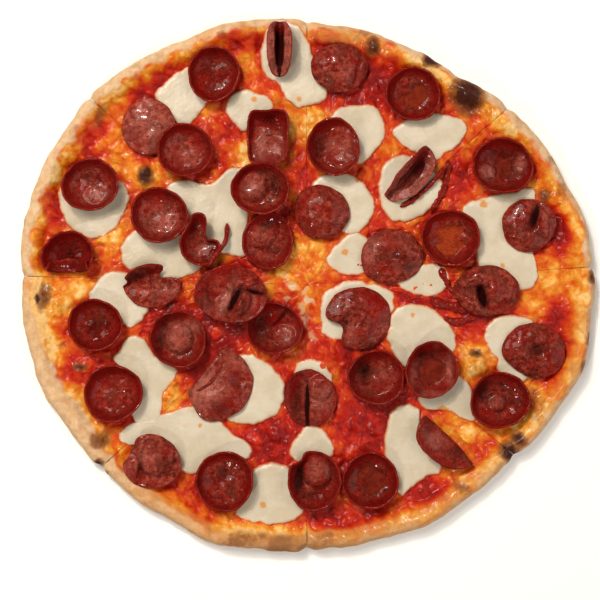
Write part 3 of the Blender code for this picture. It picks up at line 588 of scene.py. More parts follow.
class Signal:
    """Output of a shader node, which can be added, taken away and multiplied."""

    def __init__(self, shader, socket):
        self.shader, self.socket = shader, socket

    def __add__(self, other):
        return self.shader.math("ADD", self, other)

    def __sub__(self, other):
        return self.shader.math("SUBTRACT", self, other)

    def __rsub__(self, other):
        return self.shader.math("SUBTRACT", other, self)

    def __mul__(self, other):
        return self.shader.math("MULTIPLY", self, other)

    def clamped(self):
        self.socket.node.use_clamp = True
        return self


class Shader:
    """Small helper that adds nodes to one Principled material."""

    def __init__(self, name):
        self.material = bpy.data.materials.new(name)
        self.material.use_nodes = True
        self.tree = self.material.node_tree
        self.place = self.node("ShaderNodeTexCoord", "Object", {})

    def link(self, source, target):
        """Link a signal to an input, or set the input to a number or a colour."""
        if isinstance(source, Signal):
            self.tree.links.new(source.socket, target)
        else:
            target.default_value = srgb(*source) if isinstance(source, tuple) else source

    def node(self, kind, output, inputs, **settings):
        """One output of a new node."""
        made = self.tree.nodes.new(kind)
        for key, value in settings.items():
            setattr(made, key, value)
        for key, value in inputs.items():
            self.link(value, made.inputs[key])
        return Signal(self, made.outputs[output])

    def mask(self, name):
        """One of the masks that a mesh carries."""
        return self.node("ShaderNodeAttribute", "Fac", {}, attribute_name=name)

    def noise(self, scale, detail=3.0, rough=0.55, distortion=0.0):
        """Soft noise with so many features in a metre."""
        return self.node("ShaderNodeTexNoise", "Fac", {
            "Vector": self.place, "Scale": scale, "Detail": detail, "Roughness": rough,
            "Distortion": distortion})

    def cells(self, scale):
        return self.node("ShaderNodeTexVoronoi", "Distance", {"Vector": self.place, "Scale": scale})

    def math(self, kind, a, b):
        return self.node("ShaderNodeMath", 0, {0: a, 1: b}, operation=kind)

    def span(self, value, low, high, out_low=0.0, out_high=1.0):
        """Smooth step of a value from low to high."""
        return self.node("ShaderNodeMapRange", "Result", {
            "Value": value, "From Min": low, "From Max": high, "To Min": out_low,
            "To Max": out_high}, interpolation_type="SMOOTHSTEP")

    def mix(self, share, a, b):
        return self.node("ShaderNodeMix", 2, {"Factor": share, 6: a, 7: b}, data_type="RGBA")

    def over(self, colour, value, low, high, most, shade):
        """Colour with a shade laid over it where a value goes from low to high."""
        return self.mix(self.span(value, low, high, 0.0, most), colour, shade)

    def ramp(self, value, stops):
        """Colour from a value, through stops of (value, colour)."""
        made = self.node("ShaderNodeValToRGB", "Color", {"Fac": value})
        elements = made.socket.node.color_ramp.elements
        while len(elements) < len(stops):
            elements.new(0.5)
        for element, (place, colour) in zip(elements, stops):
            element.position, element.color = place, srgb(*colour)
        return made

    def bump(self, height, distance, strength, under=None):
        """Normal of a fine relief, on top of another one."""
        inputs = {"Height": height, "Distance": distance, "Strength": strength}
        if under:
            inputs["Normal"] = under
        return self.node("ShaderNodeBump", "Normal", inputs)

    def surface(self, inputs):
        """The material, with these inputs of its surface."""
        for key, value in inputs.items():
            self.link(value, self.tree.nodes["Principled BSDF"].inputs[key])
        return self.material


def crust_material():
    """Baked dough, sauce and melted cheese, told apart by the masks."""
    s = Shader("baked_pizza")
    fine, coarse, grain = s.noise(1500, 4), s.noise(420, 5, 0.6), s.noise(3800, 2)
    wobble = (coarse - 0.5) * 0.5
    red = s.mask("sauce") + wobble * 0.7 + (fine - 0.5) * 0.28
    topping = s.ramp(red, (
        (0.0, (242, 196, 122)), (0.13, (232, 157, 56)), (0.27, (217, 121, 22)),
        (0.42, (208, 84, 8)), (0.56, (196, 52, 7)), (0.72, (178, 25, 4)), (0.94, (132, 7, 1)),
    ))
    flour = s.noise(230, 5, 0.65) + grain * 0.2
    dough = s.mix(s.span(flour, 0.40, 0.80), (208, 166, 122), (228, 194, 152))
    dough = s.over(dough, s.noise(120, 6, 0.7), 0.48, 0.66, 0.5, (178, 136, 98))
    edge = s.mask("dough") + wobble * 0.9
    browned_and_shaded = s.mask("toast_and_shade") + wobble * 0.9
    burnt = s.mask("char") + wobble * 0.8
    colour = s.over(topping, edge, 0.10, 0.90, 1.0, dough)
    # Toasted brown over the rim, partly painted shade where it faces away from the light.
    colour = s.over(colour, browned_and_shaded, 0.10, 0.90, 0.7, (206, 138, 70))
    colour = s.over(colour, browned_and_shaded, 0.60, 1.30, 0.85, (138, 88, 52))
    colour = s.over(colour, burnt, 0.12, 0.56, 0.85, (128, 68, 26))
    colour = s.over(colour, burnt, 0.54, 0.90, 1.0, (66, 26, 12))
    base = s.mix(s.span(s.noise(160, 6, 0.65), 0.40, 0.70), (214, 174, 128), (140, 88, 48))
    base = s.over(base, s.noise(90, 4), 0.60, 0.72, 1.0, (70, 42, 26))
    dry = s.math("MAXIMUM", s.span(edge, 0.38, 0.62), s.mask("under"))
    return s.surface({
        "Base Color": s.mix(s.mask("under"), colour, base),
        "Roughness": dry * 0.4 + fine * 0.25 + 0.20, "Specular IOR Level": 0.12,
        "Coat Weight": (1.0 - dry) * 0.20, "Coat Roughness": 0.14,
        "Normal": s.bump(coarse + fine * 0.55, 0.0016, 0.5, s.bump(grain, 0.00025, 0.4)),
    })


def mozzarella_material():
    """Soft white cheese, thin and tinted by sauce at its edge."""
    s = Shader("melted_mozzarella")
    fine = s.noise(600, 3)
    body = s.mix(s.span(s.noise(85, 3), 0.35, 0.65), (198, 183, 156), (208, 195, 172))
    body = s.over(body, s.noise(190, 3), 0.58, 0.78, 0.35, (214, 170, 134))
    thin = s.mask("thin") + (fine - 0.5) * 0.6
    colour = s.over(body, thin, 0.30, 0.75, 0.6, (216, 150, 104))
    colour = s.over(colour, thin, 0.75, 1.05, 0.85, (196, 84, 34))
    gold = s.mask("gold") + (fine - 0.5) * 0.9
    colour = s.over(colour, gold, 0.35, 0.75, 0.85, (206, 132, 44))
    main = s.tree.nodes["Principled BSDF"]
    main.inputs["Subsurface Radius"].default_value = (0.004, 0.003, 0.002)
    return s.surface({
        "Base Color": colour, "Roughness": s.span(fine, 0.3, 0.7, 0.26, 0.40),
        "Specular IOR Level": 0.4, "Subsurface Weight": 0.12, "Subsurface Scale": 0.5,
        "Normal": s.bump(s.noise(240, 2) + fine * 0.35, 0.0008, 0.5),
    })


def pepperoni_material():
    """Cured sausage: meat with flecks of fat, a dark casing edge and oil, with painted shade
    in its hollows and some painted highlights.
    """
    s = Shader("baked_pepperoni")
    grain, fine, broad = s.noise(360, 4, 0.6), s.noise(2400, 3), s.noise(150, 3, 0.5, 0.5)
    speck, fat = s.noise(950, 3, 0.6), s.cells(560)
    tone, dark, grease = s.mask("tone"), s.mask("dark"), s.mask("grease")
    deep = s.mix(tone, (102, 9, 4), (126, 32, 18))
    mild = s.mix(tone, (152, 26, 10), (206, 96, 74))
    meat = s.mix(s.span(grain + speck * 0.25, 0.48, 0.78), deep, mild)
    meat = s.over(meat, broad, 0.50, 0.66, 0.7, (152, 18, 7))
    meat = s.over(meat, s.noise(130, 3), 0.48, 0.62, 0.6, (118, 52, 38))
    flecks = s.span(fat, 0.16, 0.30, 1.0, 0.0) * s.span(fine, 0.42, 0.6)
    meat = s.mix(flecks * 0.35, meat, (196, 116, 92))
    # Deeper red on the inner walls of cups and inside folds: partly the casing's red and partly
    # painted shade in the hollow.
    meat = s.mix(s.mask("wall") * 0.75, meat, (128, 11, 5))
    # Pale pink: paler meat, and painted highlights on some cups and ridges.
    pale = s.mask("pale") * s.span(grain, 0.3, 0.6, 0.4, 0.95)
    meat = s.mix(pale.clamped(), meat, (204, 116, 98))
    meat = s.over(meat, s.mask("lip"), 0.35, 0.9, 0.7, (172, 40, 24))
    # Deeper red of the flush: partly the casing's own red, partly painted shade on the upper-left
    # walls of cups.
    flush = s.mask("flush") * s.span(grain, 0.2, 0.5, 0.5, 0.9)
    meat = s.mix(flush.clamped(), meat, (152, 16, 6))
    # Near black where the dark mask is: painted shade in slots, dents and on shaded walls.
    meat = s.mix((dark * 0.62).clamped(), meat, (42, 6, 3))
    meat = s.mix(s.mask("under") * 0.3, meat, (122, 22, 12))
    oil = s.mix(s.span(s.noise(330, 2), 0.35, 0.65), (98, 22, 9), (120, 34, 14))
    orange = s.mask("oil") * s.span(speck, 0.40, 0.60, 0.45, 1.0)
    oil = s.mix(orange, oil, (172, 62, 20))
    relief = grain + s.span(fat, 0.1, 0.5) * 0.3 + broad * 0.5 + speck * 2.1
    relief = relief * (1.0 - grease)
    # Less coat where the painted shade is dark, so that no gloss lightens it.
    return s.surface({
        "Base Color": s.mix(grease, meat, oil), "Roughness": 0.5, "Specular IOR Level": 0.06,
        "Coat Weight": (1.0 - (dark * 0.6).clamped()) * 0.22, "Coat Roughness": 0.10,
        "Normal": s.bump(relief, 0.0016, 0.8, s.bump(fine, 0.0006, 0.9)),
    })


def floor_material():
    """Matt off-white table with the faintest mottling."""
    s = Shader("pale_floor")
    tint = s.mix(s.noise(4, 3), (244, 243, 240), (249, 248, 246))
    return s.surface({"Base Color": tint, "Roughness": 0.8})


# ---------------------------------------------------------------------- crust
def edge_radius(theta):
    """Distance from the middle to the outer edge of the crust."""
    ellipse = np.hypot(np.cos(theta) / HALF_WIDTH, np.sin(theta) / HALF_DEPTH)
    crags = 0.7 * np.sin(11 * theta + 1.0) + 0.5 * np.sin(23 * theta + 2.1)
    fine = 0.45 * noise(200 * np.cos(theta), 200 * np.sin(theta), 9.0, 5, 3)
    return 1.0 / ellipse + lobes(np.degrees(theta), OUTLINE_LOBES) + crags + fine


def cut_pinch(r, theta, reach):
    """1 on a knife cut, falling to 0 beside it."""
    degrees = np.degrees(theta)
    nearest = np.min([np.abs(off_direction(degrees, cut)) for cut in CUTS], axis=0)
    return np.exp(-(r * np.radians(nearest) / reach) ** 2)


def rim_rise(theta, edge):
    """Change of the rim's height in one direction."""
    rise = lobes(np.degrees(theta), RIM_LOBES) + 0.5 * np.sin(17 * theta + 0.6)
    return rise - CUT_NICK * cut_pinch(edge, theta, 3.0)


def rim_share(plain):
    """How much of the rim's change applies at a height of its section."""
    return np.clip((plain - FIELD) / RIM_SPAN, 0.0, 1.2)


def flour_width(x, y):
    """Width of the floury edge in the direction of a place."""
    return FLOUR + lobes(np.degrees(np.arctan2(y, x)), FLOUR_LOBES)


def lumps(x, y):
    """Melted lumps of two sizes, 0 in the creases and 1 on top."""
    wx, wy = warped(x, y, 1.6, 6.0, 25)
    return 0.7 * cells(wx, wy, 8.5, 27) + 0.3 * cells(wx, wy, 4.2, 28)


def by_slice(x, y, value):
    """The largest value(squared distance) over the round slices of pepperoni."""
    total = np.zeros(np.shape(x))
    for _, at, half, *_ in ROUNDS:
        total = np.maximum(total, value(blob(x, y, *at, *half)))
    return total


def under_slice(x, y):
    """1 below the middle of a slice of pepperoni and 0 outside it."""
    return by_slice(x, y, lambda away: 1.0 - ramp(away, 0.5, 0.95))


def sauce_mask(x, y, inset):
    """Share of sauce against cheese over the top, before the fine grain."""
    wx, wy = warped(x, y, 3.4, 10.0, 21)
    total = 0.45 + 0.21 * noise(x, y, 13.0, 23, 3) + 0.10 * noise(x, y, 4.0, 24, 3)
    for *place, strength, turn in with_turn(ZONES):
        pull = 0.30 if strength > 0 else 0.20
        total = total + pull * strength / (1.0 + blob(wx, wy, *place, turn) ** 2)
    # A ring of redder sauce just outside each slice: partly grease, partly painted contact shade.
    outlines = by_slice(wx, wy, lambda away: np.exp(-((np.sqrt(away) - 1.02) / 0.12) ** 2))
    total = total + 0.20 * (0.62 - lumps(x, y)) + 0.13 * outlines
    flour = flour_width(x, y)
    band = ramp(inset, flour - 1.0, flour + 1.5) * (1.0 - ramp(inset, flour + 3.0, flour + 12.0))
    return total - 0.30 * band


def char_mask(x, y):
    """How burnt the top is."""
    wx, wy = warped(x, y, 1.1, 4.0, 31)
    total = np.zeros(np.shape(x))
    for *place, depth, turn in with_turn(CHAR):
        away = blob(wx, wy, *place, turn)
        total = np.maximum(total, depth * np.exp(-0.5 * away ** 1.5))
    return total


def relief(x, y, inset, sauce):
    """Unevenness of the baked top."""
    z = 0.22 * np.sin(0.13 * x + 0.05 * y + 0.4) + 0.20 * np.sin(0.16 * y - 0.07 * x + 1.9)
    for table, power in ((BLISTERS, 1.2), (LUMPS, 1.6)):
        for px, py, radius, height in table:
            core = CORE * radius
            away = blob(x, y, px, py, core, core)
            z = z + height * np.exp(-away ** power)
    inside = ramp(inset, 8.0, 15.0)
    smooth = 0.5 * noise(x, y, 9.0, 43, 3)
    z = z + inside * (0.95 * (lumps(x, y) - 0.6) + smooth + 0.25 * noise(x, y, 2.6, 42, 2))
    z = z - 0.5 * inside * ramp(sauce, 0.5, 0.8)
    rim = 0.7 * noise(x, y, 11.0, 44, 3) + 0.25 * noise(x, y, 3.0, 45, 3)
    under = under_slice(x, y)
    return (z + (1.0 - inside) * rim) * (1.0 - under) - 0.4 * under


rim_curve = spline(RIM, 400)
rim_top = rim_curve[:int(np.argmin(rim_curve[:, 0])) + 1][::-1]


def plain_height(x, y):
    """Distance in from the edge, and height of the even top, at any place inside."""
    theta = np.arctan2(y, x)
    edge = edge_radius(theta)
    inset = np.maximum(edge - np.hypot(x, y), 0.8)
    plain = np.interp(inset, rim_top[:, 0], rim_top[:, 1])
    return inset, plain + rim_rise(theta, edge) * rim_share(plain)


def top_height(x, y):
    """Height of the baked top."""
    inset, plain = plain_height(x, y)
    return plain + relief(x, y, inset, sauce_mask(x, y, inset))


def bed_height(x, y):
    """Height of the top without its fine unevenness."""
    return plain_height(x, y)[1] + 0.22 * np.sin(0.13 * x + 0.05 * y + 0.4)


def add_slice(number, start, stop, material):
    """One slice as a closed mesh, with the masks of its surface."""
    share = np.linspace(0.0, 1.0, COLUMNS + 1)
    theta = np.radians(start + share * (stop - start))
    edge = edge_radius(theta)
    edge = edge - CUT_NICK * cut_pinch(edge, theta, 2.6)
    rise = rim_rise(theta, edge)
    inner = edge - RIM[0][0]
    steps = np.linspace(0.0, 1.0, FIELD_RINGS, endpoint=False)[:, None]
    radius = TIP + steps * (inner - TIP)[None, :]
    plain = np.full_like(radius, FIELD)
    section = spline(RIM, RIM_RINGS)
    radius = np.vstack([radius, edge[None, :] - section[:, :1]])
    plain = np.vstack([plain, np.repeat(section[:, 1:], COLUMNS + 1, axis=1)])
    outward = np.argmin(section[:, 0]) + FIELD_RINGS
    back = np.linspace(0.0, 1.0, BASE_RINGS + 1)[1:, None]
    foot = edge - RIM[-1][0]
    radius = np.vstack([radius, foot + back * (TIP - foot)])
    plain = np.vstack([plain, np.zeros((BASE_RINGS, COLUMNS + 1))])

    wider = (KERF_RIM - KERF_MIDDLE) * ramp(radius, inner + 6.0, inner + 20.0)
    gap = KERF_MIDDLE + wider
    turn = np.arcsin(np.clip(gap / radius, 0.0, 0.5)) * (1.0 - 2.0 * share[None, :])
    angle = theta[None, :] + turn
    x, y = radius * np.cos(angle), radius * np.sin(angle)
    inset = edge[None, :] - radius
    sauce = sauce_mask(x, y, inset)
    on_top = np.zeros_like(radius)
    on_top[:outward] = 1.0
    fade = np.clip((plain - 1.0) / 6.0, 0.0, 1.0)
    bumps = relief(x, y, inset, sauce)
    z = plain + rise[None, :] * rim_share(plain) * on_top
    z = z + bumps * np.where(on_top > 0, 1.0, fade)
    z = np.maximum(z, 0.0)
    z[plain <= 0.0] = 0.0

    below = 1.0 - ramp(plain, 0.6, 3.0)
    flour = flour_width(x, y)
    dough = 1.0 - ramp(inset + 2.2 * noise(x, y, 7.0, 52, 4), flour - 2.0, flour + 3.5)
    dough[outward:] = 1.0
    wx, wy = warped(x, y, 1.9, 3.2, 53)
    for *place, strength, tilt in with_turn(TORN):
        dough = np.maximum(dough, 0.85 * strength * np.exp(-blob(wx, wy, *place, tilt) ** 2))
    # Browning of the rim, partly painted shade, darkest at the bottom.
    toast_and_shade = lobes(np.degrees(angle), BROWNING_AND_SHADE_LOBES) + 0.4 * ramp(noise(x, y, 12.0, 51, 4), 0.1, 0.9)
    toast_and_shade = toast_and_shade * (1.0 - ramp(inset, 8.0, 14.0)) * np.where(on_top > 0, 1.0, 0.6)
    down = ramp(plain + 1.4 * noise(x, y, 3.0, 55, 3), 1.2, 4.6)
    char = char_mask(x, y) * np.where(on_top > 0, 1.0, down)
    masks = {"sauce": sauce, "dough": dough, "toast_and_shade": toast_and_shade, "char": char, "under": below}
    masks = {key: np.clip(values, 0.0, 1.4).T.ravel() for key, values in masks.items()}
    rings, columns = radius.shape
    verts = np.stack([x, y, z], axis=-1).transpose(1, 0, 2).reshape(-1, 3)
    faces = grid_faces(columns, rings)
    faces.append(tuple(range(rings)))
    faces.append(tuple(range((columns - 1) * rings, columns * rings)))
    name = "slice_%d" % number
    new_piece("baked_" + name, verts, faces, masks, material, "crust", [name])


# ---------------------------------------------------------------------- pools
def pool_mesh(outline, thickness, seed, around=120, rings=18):
    """One pool on the crust: verts, faces and masks."""
    ring = spline([on_plan(px, py) for px, py in outline], around, closed=True)
    ring = np.stack(warped(ring[:, 0], ring[:, 1], 0.85, 4.5, seed, 4), axis=-1)
    middle = ring.mean(axis=0)
    share = 1.0 - np.linspace(0.0, 1.0, rings, endpoint=False) ** 1.35
    share = np.concatenate([[1.0], share])
    flat = middle + (ring - middle) * share[:, None, None]
    x, y = flat[..., 0], flat[..., 1]
    away = np.linalg.norm(ring - middle, axis=1)[None, :] * (1.0 - share[:, None])
    swell = np.sqrt(1.0 - (1.0 - np.clip(away / POOL_ROUND, 0.0, 1.0)) ** 2)
    base = top_height(x, y)
    uneven = 0.28 * noise(x, y, 13.0, seed + 2, 2)
    z = (base + 0.15) * (1.0 - swell) + (bed_height(x, y) + thickness + uneven) * swell
    z = z - POOL_DENT * under_slice(x, y)
    z[0] = base[0] - POOL_ROOT
    thin = 1.0 - ramp(away, 0.2, 2.6)
    gold = np.zeros_like(x)
    for px, py, radius in SPECKS:
        gold = np.maximum(gold, np.exp(-blob(x, y, px, py, radius, radius)))
    centre = np.array([[*middle, np.mean(z[-1])]])
    verts = np.vstack([np.stack([x, y, z], axis=-1).reshape(-1, 3), centre,
                       centre - [0.0, 0.0, thickness + 1.0]])
    faces = grid_faces(rings + 1, around)
    last, top, low = rings * around, len(verts) - 2, len(verts) - 1
    for c in range(around):
        after = (c + 1) % around
        faces.append((last + c, last + after, top))
        faces.append((after, c, low))
    masks = {"thin": np.append(thin.ravel(), [0.0, 1.0]),
             "gold": np.append(gold.ravel(), [0.0, 0.0])}
    return verts, faces, masks


def join(parts):
    """Several (verts, faces, masks) as one."""
    verts, faces, masks, start = [], [], {}, 0
    for part_verts, part_faces, part_masks in parts:
        verts.append(part_verts)
        faces += [tuple(i + start for i in face) for face in part_faces]
        for key, values in part_masks.items():
            masks.setdefault(key, []).append(values)
        start += len(part_verts)
    return np.vstack(verts), faces, {key: np.concatenate(v) for key, v in masks.items()}


# ------------------------------------------------------------------ pepperoni
def shell(points, thickness, lip_share, masks, outer):
    """Closed sheet from rings of points, whose outer face carries less of the painted shade."""
    rings, around = points.shape[:2]
    along = np.gradient(points, axis=0)
    across = 0.5 * (np.roll(points, -1, axis=1) - np.roll(points, 1, axis=1))
    normal = np.cross(along, across)
    normal /= np.maximum(np.linalg.norm(normal, axis=-1, keepdims=True), 1e-9)
    normal[0] = normal[1:3].mean(axis=(0, 1))
    normal[0] /= np.linalg.norm(normal[0, 0])
    half = (0.5 * thickness * lip_share)[:, None, None]
    top, bottom = points + normal * half, points - normal * half
    verts = np.vstack([top.reshape(-1, 3), bottom.reshape(-1, 3)])
    count = rings * around
    faces = grid_faces(rings, around)
    faces += [tuple(reversed(face)) for face in grid_faces(rings, around, count)]
    faces += [tuple(range(around)), tuple(range(count, count + around))]
    lip = (rings - 1) * around
    for c in range(around):
        after = (c + 1) % around
        faces.append((lip + c, lip + after, count + lip + after, count + lip + c))
    both = {key: np.concatenate([values.ravel()] * 2) for key, values in masks.items()}
    both["dark"][count:] *= outer
    both["under"] = np.concatenate([np.zeros(count), np.ones(count)])
    return verts, faces, both


def polar():
    """Ring shares and angles of a slice's grid."""
    s = np.linspace(0.0, 1.0, RINGS) ** 0.85
    s[0] = 0.012
    phi = np.linspace(0.0, 2 * math.pi, AROUND, endpoint=False)
    return np.meshgrid(s, phi, indexing="ij")


def spots(px, py, table, power=2):
    """Sums of the soft spots above 0 and of those below 0, at places of the plan."""
    above, below = np.zeros(px.shape), np.zeros(px.shape)
    x, y = on_plan(px, py)
    for cx, cy, half_x, half_y, depth, turn in with_turn(table):
        away = blob(x, y, cx, cy, half_x * PLAN_UNIT, half_y * PLAN_UNIT, turn)
        value = depth * np.exp(-away ** (power + 2 * (depth > DEPTH_FLAT)))
        above += np.maximum(value, 0.0)
        below += np.maximum(-value, 0.0)
    return above, below


def bent(points, at, crease, direction, turn, radius):
    """Points with the part to the left of a crease folded up."""
    cx, cy = (crease[0] - at[0]) * PLAN_UNIT, (at[1] - crease[1]) * PLAN_UNIT
    nx, ny = -math.sin(math.radians(direction)), math.cos(math.radians(direction))
    limit = math.radians(turn)
    x, y, z = points[..., 0], points[..., 1], points[..., 2]
    t = (x - cx) * nx + (y - cy) * ny
    angle = np.clip(t / radius, 0.0, limit)
    rest = np.where(t > 0, t - radius * angle, 0.0)
    along = radius * np.sin(angle) + rest * np.cos(angle) - z * np.sin(angle)
    up = radius * (1.0 - np.cos(angle)) + rest * np.sin(angle) + z * np.cos(angle)
    shift = np.where(t > 0, along - t, 0.0)
    return np.stack([x + shift * nx, y + shift * ny, np.where(t > 0, up, z)], axis=-1)


def round_mesh(key, at, half, lip, crown, square, tone, grease, seed):
    """A cup or a dome about its own middle."""
    draw = np.random.default_rng(seed)
    phase = draw.uniform(0.0, 2 * math.pi, 9)
    s, phi = polar()
    cup = ramp(np.array(lip), 2.0, 6.0)
    reach = cup * (1.22 * s - 0.22 * s ** 3) + (1.0 - cup) * (1.08 * s - 0.08 * s ** 4)
    power = 2.0 + 4.0 * square
    squared = (np.abs(np.cos(phi)) ** power + np.abs(np.sin(phi)) ** power) ** (-1.0 / power)
    crags = (0.025 * np.cos(2 * phi + phase[0]) + 0.02 * np.cos(3 * phi + phase[1])
             + 0.009 * np.cos(7 * phi + phase[5]) + 0.006 * np.cos(13 * phi + phase[7]))
    reach = reach * squared * (1.0 + s * crags)
    for centre, spread, depth in TEARS.get(key, ()):
        off = off_direction(np.degrees(phi), centre)
        reach = reach * (1.0 - s * depth * np.exp(-(off / spread) ** 4))
    x, y = half[0] * reach * np.cos(phi), half[1] * reach * np.sin(phi)
    px, py = at[0] + x / PLAN_UNIT, at[1] - y / PLAN_UNIT
    curl = 1.0 + 0.12 * np.cos(2 * phi + phase[2]) + 0.08 * np.cos(3 * phi + phase[3])
    curl = curl + 0.035 * np.cos(9 * phi + phase[6]) + 0.02 * np.cos(17 * phi + phase[8])
    z = lip * curl * s ** 3.2 + crown * (1.0 - s ** 2.4)
    z = z + 0.35 * s * s * np.cos(4 * phi + phase[4])
    raised, sunk = spots(px, py, BUMPS.get(key, ()))
    z = z + raised
    z = np.maximum(z - sunk, z.min())
    uneven = 0.34 * noise(x, y, 4.0, seed + 60, 3) + 0.5 * noise(x, y, 9.0, seed + 61, 2)
    z = z + uneven * (1.0 - 0.6 * s ** 4)
    wet = np.zeros_like(z)
    if grease > 0.0:
        level = np.min(z[s < 0.5]) + grease
        wet = ramp(level - z, -0.6, 0.5) * (s < 0.8)
        z = np.where(s < 0.8, np.maximum(z, level), z)
    # The dark mask is mostly painted shade in slots, dents and on the shaded sides of cups, with
    # blotches from noise; the pale mask is paler meat and painted highlights.
    dark, pale = spots(px, py, PAINTED_LIGHT_AND_TONE.get(key, ()), 1)
    dark = dark + 0.4 * ramp(noise(x, y, 6.0, seed + 62, 3), 0.35, 1.0)
    flush = spots(px, py, FLUSH_AND_SHADE.get(key, ()), 1)[0]
    flush = flush + 0.5 * ramp(noise(x, y, 8.0, seed + 63, 3), 0.2, 0.9)
    # Painted shade: deeper red on the upper-left inner wall of every cup, the side that faces away
    # from the key light.
    flush = flush + 0.7 * cup * ramp(s, 0.5, 0.8) * ramp(np.cos(phi - 2.2), 0.0, 0.9)
    masks = {"flush": flush, "lip": ramp(s, 0.93, 1.0), "wall": cup * ramp(s, 0.5, 0.85),
             "dark": dark, "pale": pale, "tone": np.full_like(z, tone), "grease": wet,
             "oil": np.full_like(z, OIL.get(key, 0.0))}
    points = np.stack([x, y, z], axis=-1)
    for crease, direction, turn, radius in BENDS.get(key, ()):
        points = bent(points, at, crease, direction, turn, radius)
    return points, masks


def fold_section(offset, radius, opening, flare, edge, start):
    """Bend of a folded sheet: place across and height at an arc length."""
    steps = 24
    x, z = np.zeros_like(offset), np.zeros_like(offset)
    for step in range(steps):
        arc = np.abs(offset) * (step + 0.5) / steps
        slope = math.radians(opening) * np.tanh(1.1 * arc / radius)
        slope = slope * (1.0 - flare * ramp(arc / edge, start, start + 0.12))
        x = x + np.cos(slope) * np.abs(offset) / steps
        z = z + np.sin(slope) * np.abs(offset) / steps
    return np.copysign(x, offset), z


def fold_mesh(key, at, turn, shade, half_length, half_width, radius, opening, flare,
              roll, egg, bow, tone, seed):
    """A slice folded along its middle."""
    s, phi = polar()
    tip = math.radians(roll)
    wide = half_width * (1.0 + egg * np.cos(phi) + 0.03 * np.cos(5 * phi + seed))
    offset = wide * s * np.sin(phi)
    edge = wide * np.maximum(np.abs(np.sin(phi)), 0.2)
    start = 0.56 + 0.22 * (shade > 1.0) * ramp(np.cos(phi), 0.2, 0.9)
    across, height = fold_section(offset, radius, opening, flare, edge, start)
    blunt = np.where(np.cos(phi) > 0.0, 1.0 - 0.35 * (shade > 1.0), 1.0)
    along = np.copysign(np.abs(np.cos(phi)) ** blunt, np.cos(phi))
    x = half_length * s * along * (1.0 + 0.06 * height / half_width)
    wave = 0.6 * noise(x, height, 6.0, seed, 3)
    across = across + wave * np.sign(np.sin(phi)) * s
    height = height + 0.5 * noise(x, offset, 5.0, seed + 1, 3) * s
    y = across * math.cos(tip) - height * math.sin(tip) + bow * (1.0 - (x / half_length) ** 2)
    z = across * math.sin(tip) + height * math.cos(tip)
    cos, sin = math.cos(math.radians(turn)), math.sin(math.radians(turn))
    px = at[0] + (x * cos - y * sin) / PLAN_UNIT
    py = at[1] - (x * sin + y * cos) / PLAN_UNIT
    dark, pale = spots(px, py, PAINTED_LIGHT_AND_TONE.get(key, ()), 1)
    flush = spots(px, py, FLUSH_AND_SHADE.get(key, ()), 1)[0]
    # Painted shade inside the fold: its inner faces darkened, less where they are redder.
    inside = (shade > 0.0) * (1.0 - ramp(np.abs(offset) / edge, start + 0.04, start + 0.12))
    masks = {"lip": ramp(s, 0.95, 1.0), "wall": 0.7 * inside, "flush": flush,
             "dark": dark + shade * inside * (1.0 - 0.5 * ramp(flush, 0.3, 1.0)),
             "pale": pale + 0.5 * (shade > 0.0) * (1.0 - inside),
             "tone": np.full_like(z, tone), "grease": np.zeros_like(z)}
    return np.stack([x, y, z], axis=-1), masks


def rotation(axis, degrees):
    """Matrix that turns about one of the axes 0, 1 and 2."""
    after, last = (axis + 1) % 3, (axis + 2) % 3
    cos, sin = math.cos(math.radians(degrees)), math.sin(math.radians(degrees))
    matrix = np.eye(3)
    matrix[after, after] = matrix[last, last] = cos
    matrix[after, last], matrix[last, after] = -sin, sin
    return matrix


def lay_pepperoni(key, at, points, masks, turn, lean, material, outer=1.0):
    """Turn and lean a slice, and place it at the height of its CAD node."""
    node = "pepperoni_" + key
    turned = rotation(0, lean[0]) @ rotation(1, lean[1]) @ rotation(2, turn)
    rings = np.linspace(0.0, 1.0, RINGS)
    verts, faces, masks = shell(points @ turned.T, SLICE, 1.0 - 0.2 * rings ** 6, masks, outer)
    x, y = on_plan(*at)
    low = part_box(node)[0].z / MM - SINK - DROP.get(key, 0.0)
    verts = verts + np.array([x, y, low - verts[:, 2].min()])
    new_piece("baked_" + node, verts, faces, masks, material, "pepperoni", [node])


def strand_mesh(half_width, half_height, lifts, points, count=48, sides=12):
    """A thin strip that lies along plan points on the crust."""
    path = spline([on_plan(px, py) for px, py in points], count)
    step = np.gradient(path, axis=0)
    step /= np.linalg.norm(step, axis=1, keepdims=True)
    side = np.stack([-step[:, 1], step[:, 0]], axis=-1)
    t = np.linspace(-1.0, 1.0, count)
    taper = np.sqrt(np.maximum(1.0 - np.abs(t) ** 5, 0.02))
    taper = taper * (1.0 + 0.25 * noise(path[:, 0], path[:, 1], 3.5, 71, 2))
    low = top_height(path[:, 0], path[:, 1]) + np.linspace(*lifts, count)
    verts = []
    for k in range(count):
        for c in range(sides):
            angle = 2 * math.pi * c / sides
            out = half_width * taper[k] * math.cos(angle)
            up = half_height * taper[k] * math.sin(angle)
            verts.append((*(path[k] + side[k] * out), low[k] + up))
    faces = grid_faces(count, sides)
    faces += [tuple(range(sides)), tuple(range((count - 1) * sides, count * sides))]
    count = len(verts)
    return np.array(verts), faces, {"tone": np.full(count, 0.5), "flush": np.full(count, 0.8)}


# ---------------------------------------------------------------- build pieces
crust = crust_material()
cheese = mozzarella_material()
sausage = pepperoni_material()

